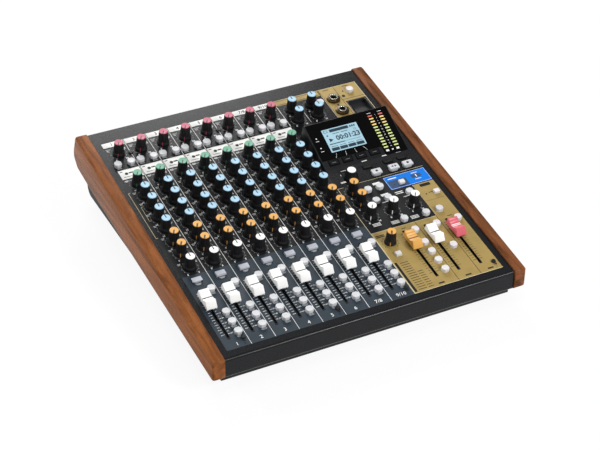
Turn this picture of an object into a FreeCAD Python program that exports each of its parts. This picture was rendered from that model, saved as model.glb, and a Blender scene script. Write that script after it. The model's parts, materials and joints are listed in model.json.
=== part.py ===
import FreeCAD, Part

import math
import os

from FreeCAD import Placement, Rotation, Vector

# A desktop recording mixer: a sloping steel panel between two wooden cheeks, carried on a folded
# bottom case. Twelve strips of equal width cross the panel. Eight are channels, each with nine
# rotary knobs, seven keys and a fader, and four make the master section with its display.
# Lengths are in millimetres and angles in degrees. +Z is up, +Y points to the rear and +X to the
# right. The origin is on the table, under the middle of the whole mixer.
# Panel places are given as x from the panel's left edge, y up its slope from the front edge, and
# w out of its face.

# Strips
strip_count = 12
strip_pitch = 25.16
channel_count = 8
panel_side_margin = 7.54

# Rows of controls, stacked up the slope from the front edge, each a gap behind the one before
fader_bottom = 30.0
fader_travel = 60.0
fader_top = fader_bottom + fader_travel
fader_rest_height = 44.8
fader_rest = fader_bottom + fader_rest_height
mute_gap = 17.2
mute_row = fader_top + mute_gap
pan_gap = 19.3
pan_row = mute_row + pan_gap
aux_gap = 21.8
aux_first_row = pan_row + aux_gap
aux_pitch = 18.2
aux_count = 2
aux_last_row = aux_first_row + (aux_count - 1) * aux_pitch
eq_gap = 20.0
eq_first_row = aux_last_row + eq_gap
eq_pitch = 18.0
eq_count = 4
eq_last_row = eq_first_row + (eq_count - 1) * eq_pitch
comp_gap = 20.5
comp_row = eq_last_row + comp_gap
switch_gap = 33.3
switch_row = comp_row + switch_gap
trim_gap = 17.7
trim_row = switch_row + trim_gap
rear_margin = 40.0

# The four keys beside a fader: three near its foot and one at its top
fader_key_start = -1.4
fader_key_pitch = 13.8
fader_key_count = 3
fader_key_end = 0.6
fader_key_rows = [fader_bottom + fader_key_start + n * fader_key_pitch
                  for n in range(fader_key_count)]
fader_key_rows.append(fader_top + fader_key_end)

# Panel and case
panel_width = strip_count * strip_pitch + 2.0 * panel_side_margin
panel_length = trim_row + rear_margin
panel_tilt = 7.5
panel_sheet = 1.5
panel_bend_radius = 3.0
panel_front_height = 40.0
lip_height = 22.0
lip_return = 14.0
lip_fit = 0.3
case_sheet = 1.2
case_clearance = 8.0
case_front_inset = 8.0
case_front_radius = 2.0
case_rear_radius = 10.0
rear_fold = 2.5
foot_radius = 9.0
foot_taper = 1.5
foot_inset_x = 24.0
foot_inset_front = 32.0
foot_inset_rear = 28.0
vent_count = 8
vent_length = 34.0
vent_width = 2.6
vent_pitch = 9.0

# Wooden cheeks
cheek_thickness = 13.0
cheek_proud = 2.0
cheek_front_depth = 22.0
cheek_rear_depth = 38.0
cheek_level_run = 52.0
cheek_overhang = 1.5
cheek_bulge = 5.5
cheek_corner = 4.0
cheek_sweep = 80.0
cheek_heel = 9.0
cheek_edge = 2.0

# Places across a strip, from its left edge
knob_column = strip_pitch / 2.0
pad_column = 4.6
filter_column = 19.3
mute_column = 11.4
fader_column = 7.9
fader_key_column = 19.3

# Knobs
knob_sides = 8
knob_skirt_radius = 6.5
knob_body_radius = 5.7
knob_top_radius = 4.8
knob_gap = 0.4
knob_skirt_height = 3.4
knob_height = 15.0
knob_mark_width = 0.9
knob_mark_depth = 0.35
jog_skirt_radius = 8.0
jog_body_radius = 7.7
jog_top_radius = 5.0
jog_height = 10.2
shaft_radius = 3.0
shaft_fit = 0.06
shaft_length = 8.2
shaft_end_room = 0.3
bushing_radius = 3.7
bushing_fit = 0.15
bushing_recess = 0.3

# Faders
slot_width = 2.4
slot_end_room = 1.5
stem_width = 1.2
stem_length = 6.5
cap_length = 24.6
cap_width = 10.7
cap_height = 11.4
cap_valley = 8.2
cap_valley_half = 2.6
cap_ridge = 1.6
cap_gap = 3.4
cap_slant = 3.1
cap_line = 0.6
fader_body_width = 9.0
fader_body_wall = 1.0
fader_body_end = 5.0
carriage_height = 2.4
carriage_fit = 0.35

# Keys
key_width = 7.8
key_depth = 7.4
key_height = 3.7
key_corner = 1.9
key_taper = 0.5
key_fit = 0.3
key_travel = 1.8
key_flange = 0.9
key_flange_thickness = 1.0
key_flange_gap = 0.4
key_stem_half = 1.3
mute_width = 9.4
mute_depth = 5.2
mute_height = 3.2
transport_width = 11.0
transport_depth = 7.2
small_key_width = 6.4
small_key_depth = 5.2
small_key_height = 3.0
shade_width = 10.0
shade_height = 1.2

# Boards and parts under the panel
board_depth = 11.0
board_thickness = 1.6
board_margin_side = 5.0
board_front = 16.0
board_rear_run = 10.0
pot_width = 10.0
pot_height = 6.0
switch_size = 6.2
switch_height = 5.4

# The master section's places are measured from its left edge
first_column = knob_column
second_column = knob_column + 23.8
transport_row = eq_first_row - 2.0
transport_columns = (50.1, 70.6, 87.2)
shade_row = transport_row + 12.9
shade_columns = (45.8, 70.3, 86.9)
select_columns = (28.4, 42.2)
select_rows = (aux_first_row - 3.8, aux_first_row + 14.5)
master_key_columns = (42.2, 67.7, 83.4)
jog_column = 22.2
jog_row = transport_row + 4.8
effect_knob_row = fader_top - 5.5

# Display housing
bezel_front = transport_row + 18.5
bezel_step = 2.0
bezel_tilt = 17.5
bezel_face = 59.4
bezel_back_run = 4.4
bezel_margin_left = 0.5
bezel_margin_right = 0.6
bezel_wall = 2.4
bezel_edge = 1.2
window_margin = 2.6
window_corner = 1.0
window_thickness = 1.4
window_fit = 0.15
window_start = 13.0
window_step = 72.2
lcd_column = 36.8
lcd_width = 43.0
lcd_start = 20.8
lcd_length = 29.0
lcd_frame = 2.5
lcd_thickness = 4.0
lcd_pane = 0.4
soft_key_count = 4
soft_key_width = 10.6
soft_key_depth = 5.4
soft_key_height = 1.0
soft_key_lead = 2.2
soft_key_pitch = 16.1
soft_key_first = 13.2
meter_columns = (76.5, 88.9)
meter_count = 12
meter_start = 10.9
meter_pitch = 3.76
meter_width = 5.6
meter_bar = 1.9
lens_height = 0.3
lens_size = 1.8
signal_column = 7.2
signal_rows = (29.2, 41.5)

# Headphone jacks and card slot
jack_bore = 3.2
jack_length = 26.0
jack_body = 13.0
jack_end_wall = 1.0
phones_column = 64.5
phones_rows = (trim_row - 21.0, trim_row + 0.5)
phones_nut_radius = 7.2
phones_nut_height = 2.6
phones_collar_radius = 5.0
phones_collar_height = 4.0
card_column = 87.7
card_width = 23.8
card_front = switch_row - 22.3
card_length = 32.6
card_depth = 6.0
card_wall = 1.2
card_rim = 1.6
card_corner = 2.0
card_slot_width = 2.8
card_slot_length = 25.0
card_slot_inset = 3.2

# Rear sockets
upper_socket_w = -23.0
lower_socket_w = -51.0
line_jack_count = 6
line_nut_radius = 6.0
line_nut_height = 2.4
line_neck_radius = 4.5
socket_flange_width = 24.0
socket_flange_height = 28.0
socket_flange_thickness = 2.0
socket_body = 21.0
socket_body_length = 22.0
socket_recess = 9.6
socket_recess_depth = 15.0
output_count = 2
output_recess_depth = 18.0
output_pin_radius = 1.2
output_pin_length = 12.0
output_pin_circle = 3.8
data_width = 9.2
data_height = 3.4
data_depth = 8.0
data_tongue = 0.8
inlet_bore = 3.0
inlet_pin = 1.0
inlet_depth = 9.0
small_socket_wall = 1.5
small_socket_collar = 2.0
power_width = 13.0
power_height = 19.0
power_frame = 1.6
power_depth = 14.0
power_wall = 2.0
rocker_throw = 18.0
rocker_fit = 0.35
rocker_proud = 3.4
rocker_keel = 2.6
rocker_pin_radius = 1.0
aperture_fit = 0.3

# Screws
screw_radius = 1.5
screw_fit = 0.1
screw_head_radius = 2.8
screw_crown_radius = 2.1
screw_head_height = 1.7
screw_length = 8.0
cheek_screw_rows = (fader_bottom + 10.0, eq_first_row - 6.5, trim_row + 8.0)
cheek_screw_w = -12.0
front_screw_row = fader_bottom - 9.0
front_screw_columns = ((0, 20.8), (4, 20.8), (7, 20.8))
last_screw_inset = 4.6
rear_screw_row = trim_row - 2.5
rear_screw_strips = (1, 5)

# Turned parts that repeat or lie inside get flats, and the small ones get fewer
flats = 12
small_flats = 8

tilt = math.radians(panel_tilt)
face_tilt = math.radians(bezel_tilt)
panel_turn = Rotation(Vector(1, 0, 0), panel_tilt)
bezel_turn = Rotation(Vector(1, 0, 0), panel_tilt + bezel_tilt)
rear_turn = panel_turn * Rotation(Vector(1, 0, 0), -90) * Rotation(Vector(0, 0, 1), 180)
seven_oclock = 240.0
twelve_oclock = 90.0


# Places

def slope(y, w):
    """The distance back and the height of a point y up the slope and w above the panel."""
    back = y * math.cos(tilt) - w * math.sin(tilt)
    up = panel_front_height + y * math.sin(tilt) + w * math.cos(tilt)
    return back, up


def on_panel(x, y, w=0.0):
    """A panel place as a point, with the panel's front edge on Y = 0."""
    back, up = slope(y, w)
    return Vector(x - panel_width / 2.0, back, up)


def seat(shape, x, y, w=0.0):
    """The shape with its own Z along the panel's normal, stood at a panel place."""
    return shape.transformed(Placement(on_panel(x, y, w), panel_turn).toMatrix())


def seat_bezel(shape, x, along, out=0.0):
    """The shape stood on the display housing's face, at a distance up it from its front."""
    y = bezel_front + along * math.cos(face_tilt) - out * math.sin(face_tilt)
    w = bezel_step + along * math.sin(face_tilt) + out * math.cos(face_tilt)
    return shape.transformed(Placement(on_panel(x, y, w), bezel_turn).toMatrix())


def seat_rear(shape, x, w):
    """The shape with its own Z out of the rear panel and its own Y towards the top panel."""
    return shape.transformed(Placement(on_panel(x, panel_length, w), rear_turn).toMatrix())


def strip_left(index):
    return panel_side_margin + index * strip_pitch


def master(across):
    """The x of a place in the master section."""
    return strip_left(channel_count) + across


# Plain solids

def block(x0, x1, y0, y1, z0, z1):
    return Part.makeBox(x1 - x0, y1 - y0, z1 - z0, Vector(x0, y0, z0))


def centred_block(width, depth, z0, z1):
    return block(-width / 2.0, width / 2.0, -depth / 2.0, depth / 2.0, z0, z1)


def rod(radius, z0, z1):
    return Part.makeCylinder(radius, z1 - z0, Vector(0, 0, z0))


def polygon_ring(sides, radius, z):
    """The corners of a regular polygon that has a flat side to the front."""
    first = -math.pi / 2.0 - math.pi / sides
    turns = [first + 2.0 * math.pi * n / sides for n in range(sides)]
    return [Vector(radius * math.cos(a), radius * math.sin(a), z) for a in turns]


def square_ring(width, depth, z):
    """The corners of a rectangle round the vertical axis."""
    a, b = width / 2.0, depth / 2.0
    return [Vector(x, y, z) for x, y in ((a, -b), (a, b), (-a, b), (-a, -b))]


def clipped_ring(width, depth, corner, z):
    """The corners of a rectangle that has its own corners cut off."""
    a, b = width / 2.0, depth / 2.0
    places = [(a - corner, -b), (a, corner - b), (a, b - corner), (a - corner, b),
              (corner - a, b), (-a, b - corner), (-a, corner - b), (corner - a, -b)]
    return [Vector(x, y, z) for x, y in places]


def closed_face(points):
    return Part.Face(Part.makePolygon(points + points[:1]))


def stacked(rings):
    """A solid with plane faces between rings of as many corners, given from the lowest up."""
    faces = [closed_face(rings[0]), closed_face(rings[-1])]
    for low, high in zip(rings, rings[1:]):
        for n in range(len(low)):
            nearby = n - 1
            faces.append(closed_face([low[nearby], low[n], high[n], high[nearby]]))
    shell = Part.makeShell(faces)
    shell.sewShape()
    solid = Part.makeSolid(shell)
    if solid.Volume < 0.0:
        solid.reverse()
    return solid


def prism(ring, z1):
    """A straight solid from a ring of corners up to a height."""
    return closed_face(ring).extrude(Vector(0, 0, z1 - ring[0].z))


def flat_rod(radius, z0, z1, sides=flats):
    """A bar with flats instead of a round side, inside that radius."""
    return prism(polygon_ring(sides, radius, z0), z1)


def flat_hole(radius, z0, z1, sides=flats):
    """A cutter with flats instead of a round side, outside that radius."""
    return flat_rod(radius / math.cos(math.pi / sides), z0, z1, sides)


def laid(upright):
    """The shape with its own Z turned to run along X."""
    return upright.transformed(Placement(Vector(), Rotation(Vector(0, 1, 0), 90)).toMatrix())


def rounded_edges(points, radii):
    """Lines and tangent arcs round a closed run of points, with one radius for each point."""
    edges = []
    corners = []
    count = len(points)
    for n in range(count):
        corner = points[n]
        if radii[n] <= 0.0:
            corners.append((corner, corner, None))
            continue
        to_last = (points[n - 1] - corner).normalize()
        to_next = (points[(n + 1) % count] - corner).normalize()
        half = to_last.getAngle(to_next) / 2.0
        run = radii[n] / math.tan(half)
        inward = (to_last + to_next).normalize()
        crest = corner + inward * (radii[n] / math.sin(half) - radii[n])
        corners.append((corner + to_last * run, corner + to_next * run, crest))
    for n in range(count):
        start, end, crest = corners[n]
        if crest is not None:
            edges.append(Part.Arc(start, crest, end).toShape())
        following = corners[(n + 1) % count][0]
        if (following - end).Length > 1e-6:
            edges.append(Part.LineSegment(end, following).toShape())
    return edges


def side_solid(profile, radii, x0, x1):
    """A solid with that profile of (back, up) points, running across the mixer from x0 to x1."""
    start = x0 - panel_width / 2.0
    points = [Vector(start, back, up) for back, up in profile]
    wire = Part.Wire(rounded_edges(points, radii))
    return Part.Face(wire).extrude(Vector(x1 - x0, 0, 0))


# Knobs

def fixed_knob():
    """A knob that stands on the panel: its skirt runs straight into its tapered grip."""
    return stacked([polygon_ring(knob_sides, knob_skirt_radius, 0),
                    polygon_ring(knob_sides, knob_top_radius, knob_height)])


level_knob = (knob_skirt_radius, knob_body_radius, knob_top_radius, knob_height)
jog_knob = (jog_skirt_radius, jog_body_radius, jog_top_radius, jog_height)


def live_knob(size, pointer_angle):
    """A knob on its shaft: a flared skirt, a tapered grip and a groove at pointer_angle from +X."""
    skirt, grip, top, height = size
    body = stacked([polygon_ring(knob_sides, skirt, knob_gap),
                    polygon_ring(knob_sides, grip, knob_skirt_height),
                    polygon_ring(knob_sides, top, height)])
    groove = block(0, skirt, -knob_mark_width / 2.0, knob_mark_width / 2.0,
                   height - knob_mark_depth, height + 1.0)
    groove.rotate(Vector(0, 0, 0), Vector(0, 0, 1), pointer_angle)
    shaft = flat_rod(shaft_radius, -shaft_length, knob_skirt_height, small_flats)
    return body.fuse(shaft).cut(groove).removeSplitter()


def channel_knob_rows():
    """The name and row of each knob in a channel strip, from the rear."""
    rows = [("trim", trim_row), ("comp", comp_row)]
    for n in reversed(range(eq_count)):
        rows.append((f"eq_{eq_count - n}", eq_first_row + n * eq_pitch))
    for n in reversed(range(aux_count)):
        rows.append((f"aux_{aux_count - n}", aux_first_row + n * aux_pitch))
    rows.append(("pan", pan_row))
    return rows


def live_knob_places():
    """The node name, place and pointer angle of each knob that turns."""
    knobs = []
    for name, row in channel_knob_rows():
        centred = name.startswith("eq") or name == "pan"
        pointer = twelve_oclock if centred else seven_oclock
        knobs.append((f"ch1_{name}_knob", (strip_left(0) + knob_column, row), pointer))
    knobs.append(("jog_dial", (master(jog_column), jog_row), twelve_oclock))
    knobs.append(("effect_level_knob", (master(first_column), effect_knob_row), seven_oclock))
    return knobs


def channel_knob_places():
    """The places of the knobs of the other channels."""
    columns = [strip_left(index) + knob_column for index in range(1, channel_count)]
    return [(x, row) for x in columns for _, row in channel_knob_rows()]


def master_knob_places():
    """The places of the level knobs of the master section."""
    first, second = master(first_column), master(second_column)
    places = [(x, row) for x in (first, second) for row in (trim_row, switch_row)]
    places += [(first, aux_first_row + n * aux_pitch) for n in range(aux_count)]
    places += [(first + n * strip_pitch, pan_row) for n in range(3)]
    return places


def potentiometer(live):
    """A potentiometer on the board, with a bored bushing where its knob turns."""
    floor = -board_depth
    body = centred_block(pot_width, pot_width, floor, floor + pot_height)
    if not live:
        return body
    bushing = flat_rod(bushing_radius, floor + pot_height, -bushing_recess, small_flats)
    bore = flat_hole(shaft_radius + shaft_fit, -shaft_length - shaft_end_room, 0, small_flats)
    return body.fuse(bushing).cut(bore)


# Faders

def fader_places():
    """The node name and x of each fader."""
    names = [(f"fader_{n + 1}", n) for n in range(channel_count)]
    names += [("fader_effect", channel_count + 1), ("fader_sub", channel_count + 2)]
    names.append(("fader_main", channel_count + 3))
    return [(name, strip_left(index) + fader_column) for name, index in names]


def slot_length():
    return fader_travel + stem_length + 2.0 * slot_end_room


def slot_middle():
    return fader_bottom + fader_travel / 2.0


def fader_cap():
    """A saddle-backed cap with a cut line across its valley, on a flat stem with a carriage."""
    foot, crest = cap_length / 2.0, cap_length / 2.0 - cap_slant
    half = [(cap_valley_half, cap_valley), (crest - cap_ridge, cap_height), (crest, cap_height),
            (foot, cap_gap)]
    outline = [(y, z) for y, z in half] + [(-y, z) for y, z in reversed(half)]
    cap = closed_face([Vector(-cap_width / 2.0, y, z) for y, z in outline])
    cap = cap.extrude(Vector(cap_width, 0, 0))
    line = centred_block(cap_width + 1.0, cap_line, cap_valley - cap_line, cap_height)
    carriage_top = -panel_sheet - fader_body_wall - carriage_fit
    carriage_width = fader_body_width - 2.0 * fader_body_wall - 2.0 * carriage_fit
    stem = centred_block(stem_width, stem_length, carriage_top, cap_gap)
    carriage = centred_block(carriage_width, stem_length, carriage_top - carriage_height,
                             carriage_top)
    return cap.cut(line).fuse([stem, carriage]).removeSplitter()


def fader_body():
    """A folded channel between the panel and the board, open along the slot of the stem."""
    length = slot_length() + 2.0 * fader_body_end
    top, bottom, wall = -panel_sheet, -board_depth, fader_body_wall
    shell = centred_block(fader_body_width, length, bottom, top)
    room = centred_block(fader_body_width - 2.0 * wall, length - 2.0 * wall, bottom + wall,
                         top - wall)
    slot = centred_block(slot_width, slot_length(), top - 2.0 * wall, top + wall)
    return shell.cut(room).cut(slot)


# Keys

round_key = (key_width, key_depth, key_height)
mute_key = (mute_width, mute_depth, mute_height)
transport_key = (transport_width, transport_depth, key_height)
small_key = (small_key_width, small_key_depth, small_key_height)
shade_key = (shade_width, small_key_depth, shade_height)


def fixed_key(width, depth, height):
    """A key that stands on the panel, as a plain tapered block."""
    top_width, top_depth = width - 2.0 * key_taper, depth - 2.0 * key_taper
    return stacked([square_ring(width, depth, 0), square_ring(top_width, top_depth, height)])


def live_key(width, depth, height):
    """A key head that goes through the panel, with the flange and stem that it is pressed on."""
    head = stacked([clipped_ring(width, depth, key_corner, 0),
                    clipped_ring(width - 2.0 * key_taper, depth - 2.0 * key_taper, key_corner,
                                 height)])
    top = -panel_sheet - key_flange_gap
    bottom = top - key_flange_thickness
    neck = prism(clipped_ring(width, depth, key_corner, top), 0.0)
    flange = centred_block(width + 2.0 * key_flange, depth + 2.0 * key_flange, bottom, top)
    stem_end = -board_depth + switch_height + key_travel + key_fit
    stem = centred_block(2.0 * key_stem_half, 2.0 * key_stem_half, stem_end, bottom)
    return head.fuse([neck, flange, stem]).removeSplitter()


def channel_key_places(index):
    """The name, place and head size of each key in a channel strip."""
    left = strip_left(index)
    keys = [("pad", (left + pad_column, switch_row), round_key),
            ("filter", (left + filter_column, switch_row), round_key),
            ("mute", (left + mute_column, mute_row), mute_key)]
    for n, row in enumerate(fader_key_rows):
        keys.append((f"assign_{n + 1}", (left + fader_key_column, row), round_key))
    return keys


def live_key_places():
    """The node name, place and head size of each key that moves."""
    keys = [(f"ch1_{name}_key", place, size) for name, place, size in channel_key_places(0)]
    names = ("play_key", "rewind_key", "forward_key")
    for name, across in zip(names, transport_columns):
        keys.append((name, (master(across), transport_row), transport_key))
    return keys


def master_key_places():
    """The place and head size of each fixed key that stands on the master section's panel."""
    keys = [((master(second_column + 11.0), trim_row - 1.0), round_key)]
    keys.append(((master(card_column + 0.4), trim_row + 7.8), round_key))
    keys += [((master(across), shade_row), shade_key) for across in shade_columns]
    keys += [((master(x), y), round_key) for x in select_columns for y in select_rows]
    keys.append(((master(master_key_columns[1]), select_rows[0]), round_key))
    keys += [((master(x), mute_row + 2.2), round_key) for x in master_key_columns]
    keys.append(((master(master_key_columns[1]), select_rows[1] - 1.4), small_key))
    keys.append(((master(master_key_columns[2] + 11.4), pan_row + 8.5), small_key))
    keys.append(((master(first_column - 1.0), effect_knob_row - 18.5), small_key))
    effect, sub, main_strip = [strip_left(channel_count + n) + fader_key_column for n in (1, 2, 3)]
    keys += [((effect, row), round_key) for row in fader_key_rows]
    keys.append(((effect, fader_top - 19.4), round_key))
    keys += [((sub, row), round_key) for row in fader_key_rows[2:]]
    keys.append(((main_strip, fader_key_rows[3]), round_key))
    return keys


def push_switch():
    floor = -board_depth
    return centred_block(switch_size, switch_size, floor, floor + switch_height)


# Screws

def screw():
    """A pan-head screw with the underside of its head on z = 0."""
    head = stacked([polygon_ring(small_flats, screw_head_radius, 0),
                    polygon_ring(small_flats, screw_crown_radius, screw_head_height)])
    shank = flat_rod(screw_radius, -screw_length, 0, 6)
    return head.fuse(shank).removeSplitter()


def screw_hole(z0, z1):
    return flat_hole(screw_radius + screw_fit, z0, z1, 6)


def panel_screw_places():
    places = [(strip_left(index), rear_screw_row) for index in rear_screw_strips]
    places += [(strip_left(index) + x, front_screw_row) for index, x in front_screw_columns]
    return places + [(strip_left(strip_count) - last_screw_inset, front_screw_row)]


def cheek_screw_placements():
    """Each cheek screw's placement, with its point going out through the side wall."""
    wall = panel_width / 2.0 - case_sheet
    placements = []
    for side in (-1, 1):
        turn = Rotation(Vector(0, 1, 0), -90 * side)
        for y in cheek_screw_rows:
            back, up = slope(y, cheek_screw_w)
            placements.append(Placement(Vector(side * wall, back, up), turn))
    return placements


def cheek_screw_holes():
    hole = screw_hole(-screw_length - 1.0, 1.0)
    return [hole.transformed(placement.toMatrix()) for placement in cheek_screw_placements()]


def foot_places():
    """The middle of each foot, on the case's underside."""
    front, rear = case_front_inset + foot_inset_front, case_rear_corner(0.0)[0] - foot_inset_rear
    across = panel_width / 2.0 - foot_inset_x
    return [Vector(side * across, y, case_clearance) for side in (-1, 1) for y in (front, rear)]


def make_screws():
    """The screws of the panel, the feet and the cheeks, all of one kind."""
    screws = [seat(screw(), x, y) for x, y in panel_screw_places()]
    downward = Rotation(Vector(1, 0, 0), 180)
    for place in foot_places():
        under = place - Vector(0, 0, case_clearance / 2.0)
        screws.append(screw().transformed(Placement(under, downward).toMatrix()))
    screws += [screw().transformed(spot.toMatrix()) for spot in cheek_screw_placements()]
    return screws


# Shell pieces

def lip_inner_y():
    """How far up the slope the inside of the front lip meets the panel's underside."""
    return panel_sheet * (1.0 - math.sin(tilt)) / math.cos(tilt)


def make_top_panel():
    """The folded panel: its slope, its front lip and the lip's return, with all its holes."""
    t = panel_sheet
    lip_foot = panel_front_height - lip_height
    profile = [slope(panel_length, 0), slope(0, 0), (0, lip_foot), (lip_return, lip_foot),
               (lip_return, lip_foot + t), (t, lip_foot + t), slope(lip_inner_y(), -t),
               slope(panel_length, -t)]
    outer, inner = panel_bend_radius, panel_bend_radius - t
    panel = side_solid(profile, [0, outer, outer, 0, 0, inner, inner, 0], 0, panel_width)
    low, high = -t - 1.0, 1.0
    slot = centred_block(slot_width, slot_length(), low, high)
    cutters = [seat(slot, x, slot_middle()) for _, x in fader_places()]
    hole = flat_hole(bushing_radius + bushing_fit, low, high, small_flats)
    cutters += [seat(hole, x, y) for _, (x, y), _ in live_knob_places()]
    for _, (x, y), (width, depth, _) in live_key_places():
        ring = clipped_ring(width + 2.0 * key_fit, depth + 2.0 * key_fit, key_corner, low)
        cutters.append(seat(prism(ring, high), x, y))
    jack = flat_hole(phones_collar_radius + aperture_fit, low, high)
    cutters += [seat(jack, master(phones_column), row) for row in phones_rows]
    cutters.append(seat_card(card_ring(aperture_fit, low), high))
    cutters += [seat(screw_hole(low, high), x, y) for x, y in panel_screw_places()]
    return panel.cut(cutters)


def case_rear_corner(inset):
    """Where the case's floor and its rear wall would meet, drawn in by inset."""
    floor, y = case_clearance + inset, panel_length - inset
    return slope(y, rear_corner_w(floor, y))


def rear_corner_w(floor, y):
    """How far under the panel a height lies, at a place up the slope."""
    return (floor - panel_front_height - y * math.sin(tilt)) / math.cos(tilt)


def rear_panel_foot():
    """The w of the rear panel's lower edge, above the case's rear bend."""
    return rear_corner_w(case_clearance, panel_length) + case_rear_radius + rear_fold


def make_bottom_case():
    """A folded tray with two side walls, a low front wall and a rounded rear corner."""
    t, s = panel_sheet, case_sheet
    floor, front = case_clearance, case_front_inset
    lip_foot = panel_front_height - lip_height
    lip_end, behind_lip = lip_return + lip_fit, panel_bend_radius + lip_fit
    rear = panel_length - t
    start = slope((behind_lip - t * math.sin(tilt)) / math.cos(tilt), -t)
    foot = rear_panel_foot()
    outer = [start, slope(rear, -t), slope(rear, foot), slope(panel_length, foot),
             case_rear_corner(0.0), (front, floor), (front, lip_foot), (lip_end, lip_foot),
             (lip_end, lip_foot + t + lip_fit), (behind_lip, lip_foot + t + lip_fit)]
    radii = [0, 0, 0, 0, case_rear_radius, case_front_radius, 0, 0, 0, 0]
    case = side_solid(outer, radii, 0, panel_width)
    beyond = 20.0
    inner = [(-beyond, lip_foot + t), (-beyond, panel_front_height + beyond),
             slope(panel_length + beyond, beyond), slope(panel_length + beyond, foot),
             slope(panel_length - s, foot), case_rear_corner(s), (front + s, floor + s),
             (front + s, lip_foot + t)]
    inner_radii = [0, 0, 0, 0, 0, case_rear_radius - s, case_front_radius - s, 0]
    case = case.cut(side_solid(inner, inner_radii, s, panel_width - s))
    cutters = cheek_screw_holes()
    cutters += [screw_hole(-1.0, s + 1.0).translated(place) for place in foot_places()]
    vent = centred_block(vent_length, vent_width, -1.0, s + 1.0)
    first = (front + case_rear_corner(0.0)[0] - (vent_count - 1) * vent_pitch) / 2.0
    for side in (-1, 1):
        for n in range(vent_count):
            place = Vector(side * panel_width / 4.0, first + n * vent_pitch, floor)
            cutters.append(vent.translated(place))
    return case.cut(cutters)


def make_rear_panel():
    """A flat plate behind the case, with a hole for each socket's body."""
    t = panel_sheet
    foot = rear_panel_foot()
    plate = centred_block(panel_width, -t - foot, -t, 0)
    panel = seat_rear(plate, panel_width / 2.0, (foot - t) / 2.0)
    low, high = -t - 1.0, 1.0
    size = socket_body + 2.0 * aperture_fit
    cutters = [seat_rear(centred_block(size, size, low, high), x, upper_socket_w)
               for x in socket_columns()]
    neck = flat_hole(line_neck_radius + aperture_fit, low, high, small_flats)
    cutters += [seat_rear(neck, x, lower_socket_w) for x in line_jack_columns()]
    small = data_shell_size()
    data = centred_block(small[0] + aperture_fit, small[1] + aperture_fit, low, high)
    cutters.append(seat_rear(data, small_socket_column(), upper_socket_w))
    side = inlet_shell_size() + aperture_fit
    inlet = centred_block(side, side, low, high)
    cutters.append(seat_rear(inlet, small_socket_column(), lower_socket_w))
    opening = centred_block(power_width + 2.0 * aperture_fit, power_height + 2.0 * aperture_fit,
                            low, high)
    cutters.append(seat_rear(opening, power_column(), power_w()))
    return panel.cut(cutters)


def make_cheek(side):
    """A wooden cheek, -1 for the left and 1 for the right: deeper and bulged at the rear."""
    top = cheek_proud
    front_top = slope(-cheek_overhang, top)
    front_foot = (front_top[0], slope(0, -cheek_front_depth)[1])
    rear = panel_length + cheek_overhang
    heel = -cheek_rear_depth
    bulge = rear + cheek_bulge
    profile = [front_top, front_foot, slope(panel_length - cheek_level_run, heel),
               slope(rear - cheek_bulge, heel), slope(bulge, heel + cheek_heel),
               slope(bulge, heel + 2.0 * cheek_heel), slope(rear, top)]
    radii = [cheek_corner, cheek_corner, cheek_sweep, cheek_heel, cheek_heel, 2.0 * cheek_heel,
             cheek_corner]
    start = -cheek_thickness if side < 0 else panel_width
    cheek = side_solid(profile, radii, start, start + cheek_thickness)
    outer_x = side * (panel_width / 2.0 + cheek_thickness)
    edges = [edge for edge in cheek.Edges if abs(edge.BoundBox.Center.x - outer_x) < 1e-3]
    return cheek.makeChamfer(cheek_edge, edges).cut(cheek_screw_holes())


def make_feet():
    """Four rubber feet, each with a sunk seat for its screw."""
    height = case_clearance
    foot = stacked([polygon_ring(flats, foot_radius - foot_taper, -height),
                    polygon_ring(flats, foot_radius, 0)])
    sunk = flat_hole(screw_head_radius + 1.0, -height - 1.0, -height / 2.0, small_flats)
    foot = foot.cut([sunk, screw_hole(-height, 1.0)])
    return [foot.translated(place) for place in foot_places()]


# Display

def bezel_sides():
    left = master(bezel_margin_left)
    return left, strip_left(strip_count) - bezel_margin_right


def bezel_profile(inset):
    """The housing's profile, drawn in by inset inside its front, face and back."""
    front = bezel_front + inset
    back = bezel_front + bezel_face * math.cos(face_tilt) - inset
    face_drop = inset / math.cos(face_tilt)
    step = bezel_step - face_drop + (front - bezel_front) * math.tan(face_tilt)
    top = step + (back - front) * math.tan(face_tilt)
    return [(front, 0.0), (front, step), (back, top), (back + bezel_back_run, 0.0)]


def make_display_bezel():
    """A wedge-shaped moulded housing, hollow below, framing the window in its sloping face."""
    left, right = bezel_sides()
    outer = [slope(y, w) for y, w in bezel_profile(0.0)]
    bezel = side_solid(outer, [0, bezel_edge, bezel_edge, 0], left, right)
    inner = bezel_profile(bezel_wall)
    ceiling = inner[2]
    reach = ceiling[1] / math.tan(face_tilt)
    room = [slope(ceiling[0] - reach, 0.0), slope(*ceiling), slope(inner[3][0], 0.0)]
    bezel = bezel.cut(side_solid(room, [0, 0, 0], left + bezel_wall, right - bezel_wall))
    size = lcd_width + 2.0 * lcd_frame, lcd_length + 2.0 * lcd_frame
    sight = centred_block(size[0], size[1], -2.0 * bezel_wall, 1.0)
    sight = seat_bezel(sight, master(lcd_column), lcd_start + lcd_length / 2.0)
    return bezel.cut([make_window(window_fit), sight])


def make_window(room):
    """The glossy window, wider by room all round, flush in the sloping face."""
    sides = bezel_sides()
    left, right = sides[0] + window_margin - room, sides[1] - window_margin + room
    near, far = window_start - room, bezel_face - window_margin + room
    inside, low = master(window_step) - room, window_margin - room
    outline = [(left, near), (inside, near), (inside, low), (right, low), (right, far),
               (left, far)]
    plate = closed_face([Vector(x, y, -window_thickness) for x, y in outline])
    return seat_bezel(plate.extrude(Vector(0, 0, window_thickness)), 0.0, 0.0)


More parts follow.
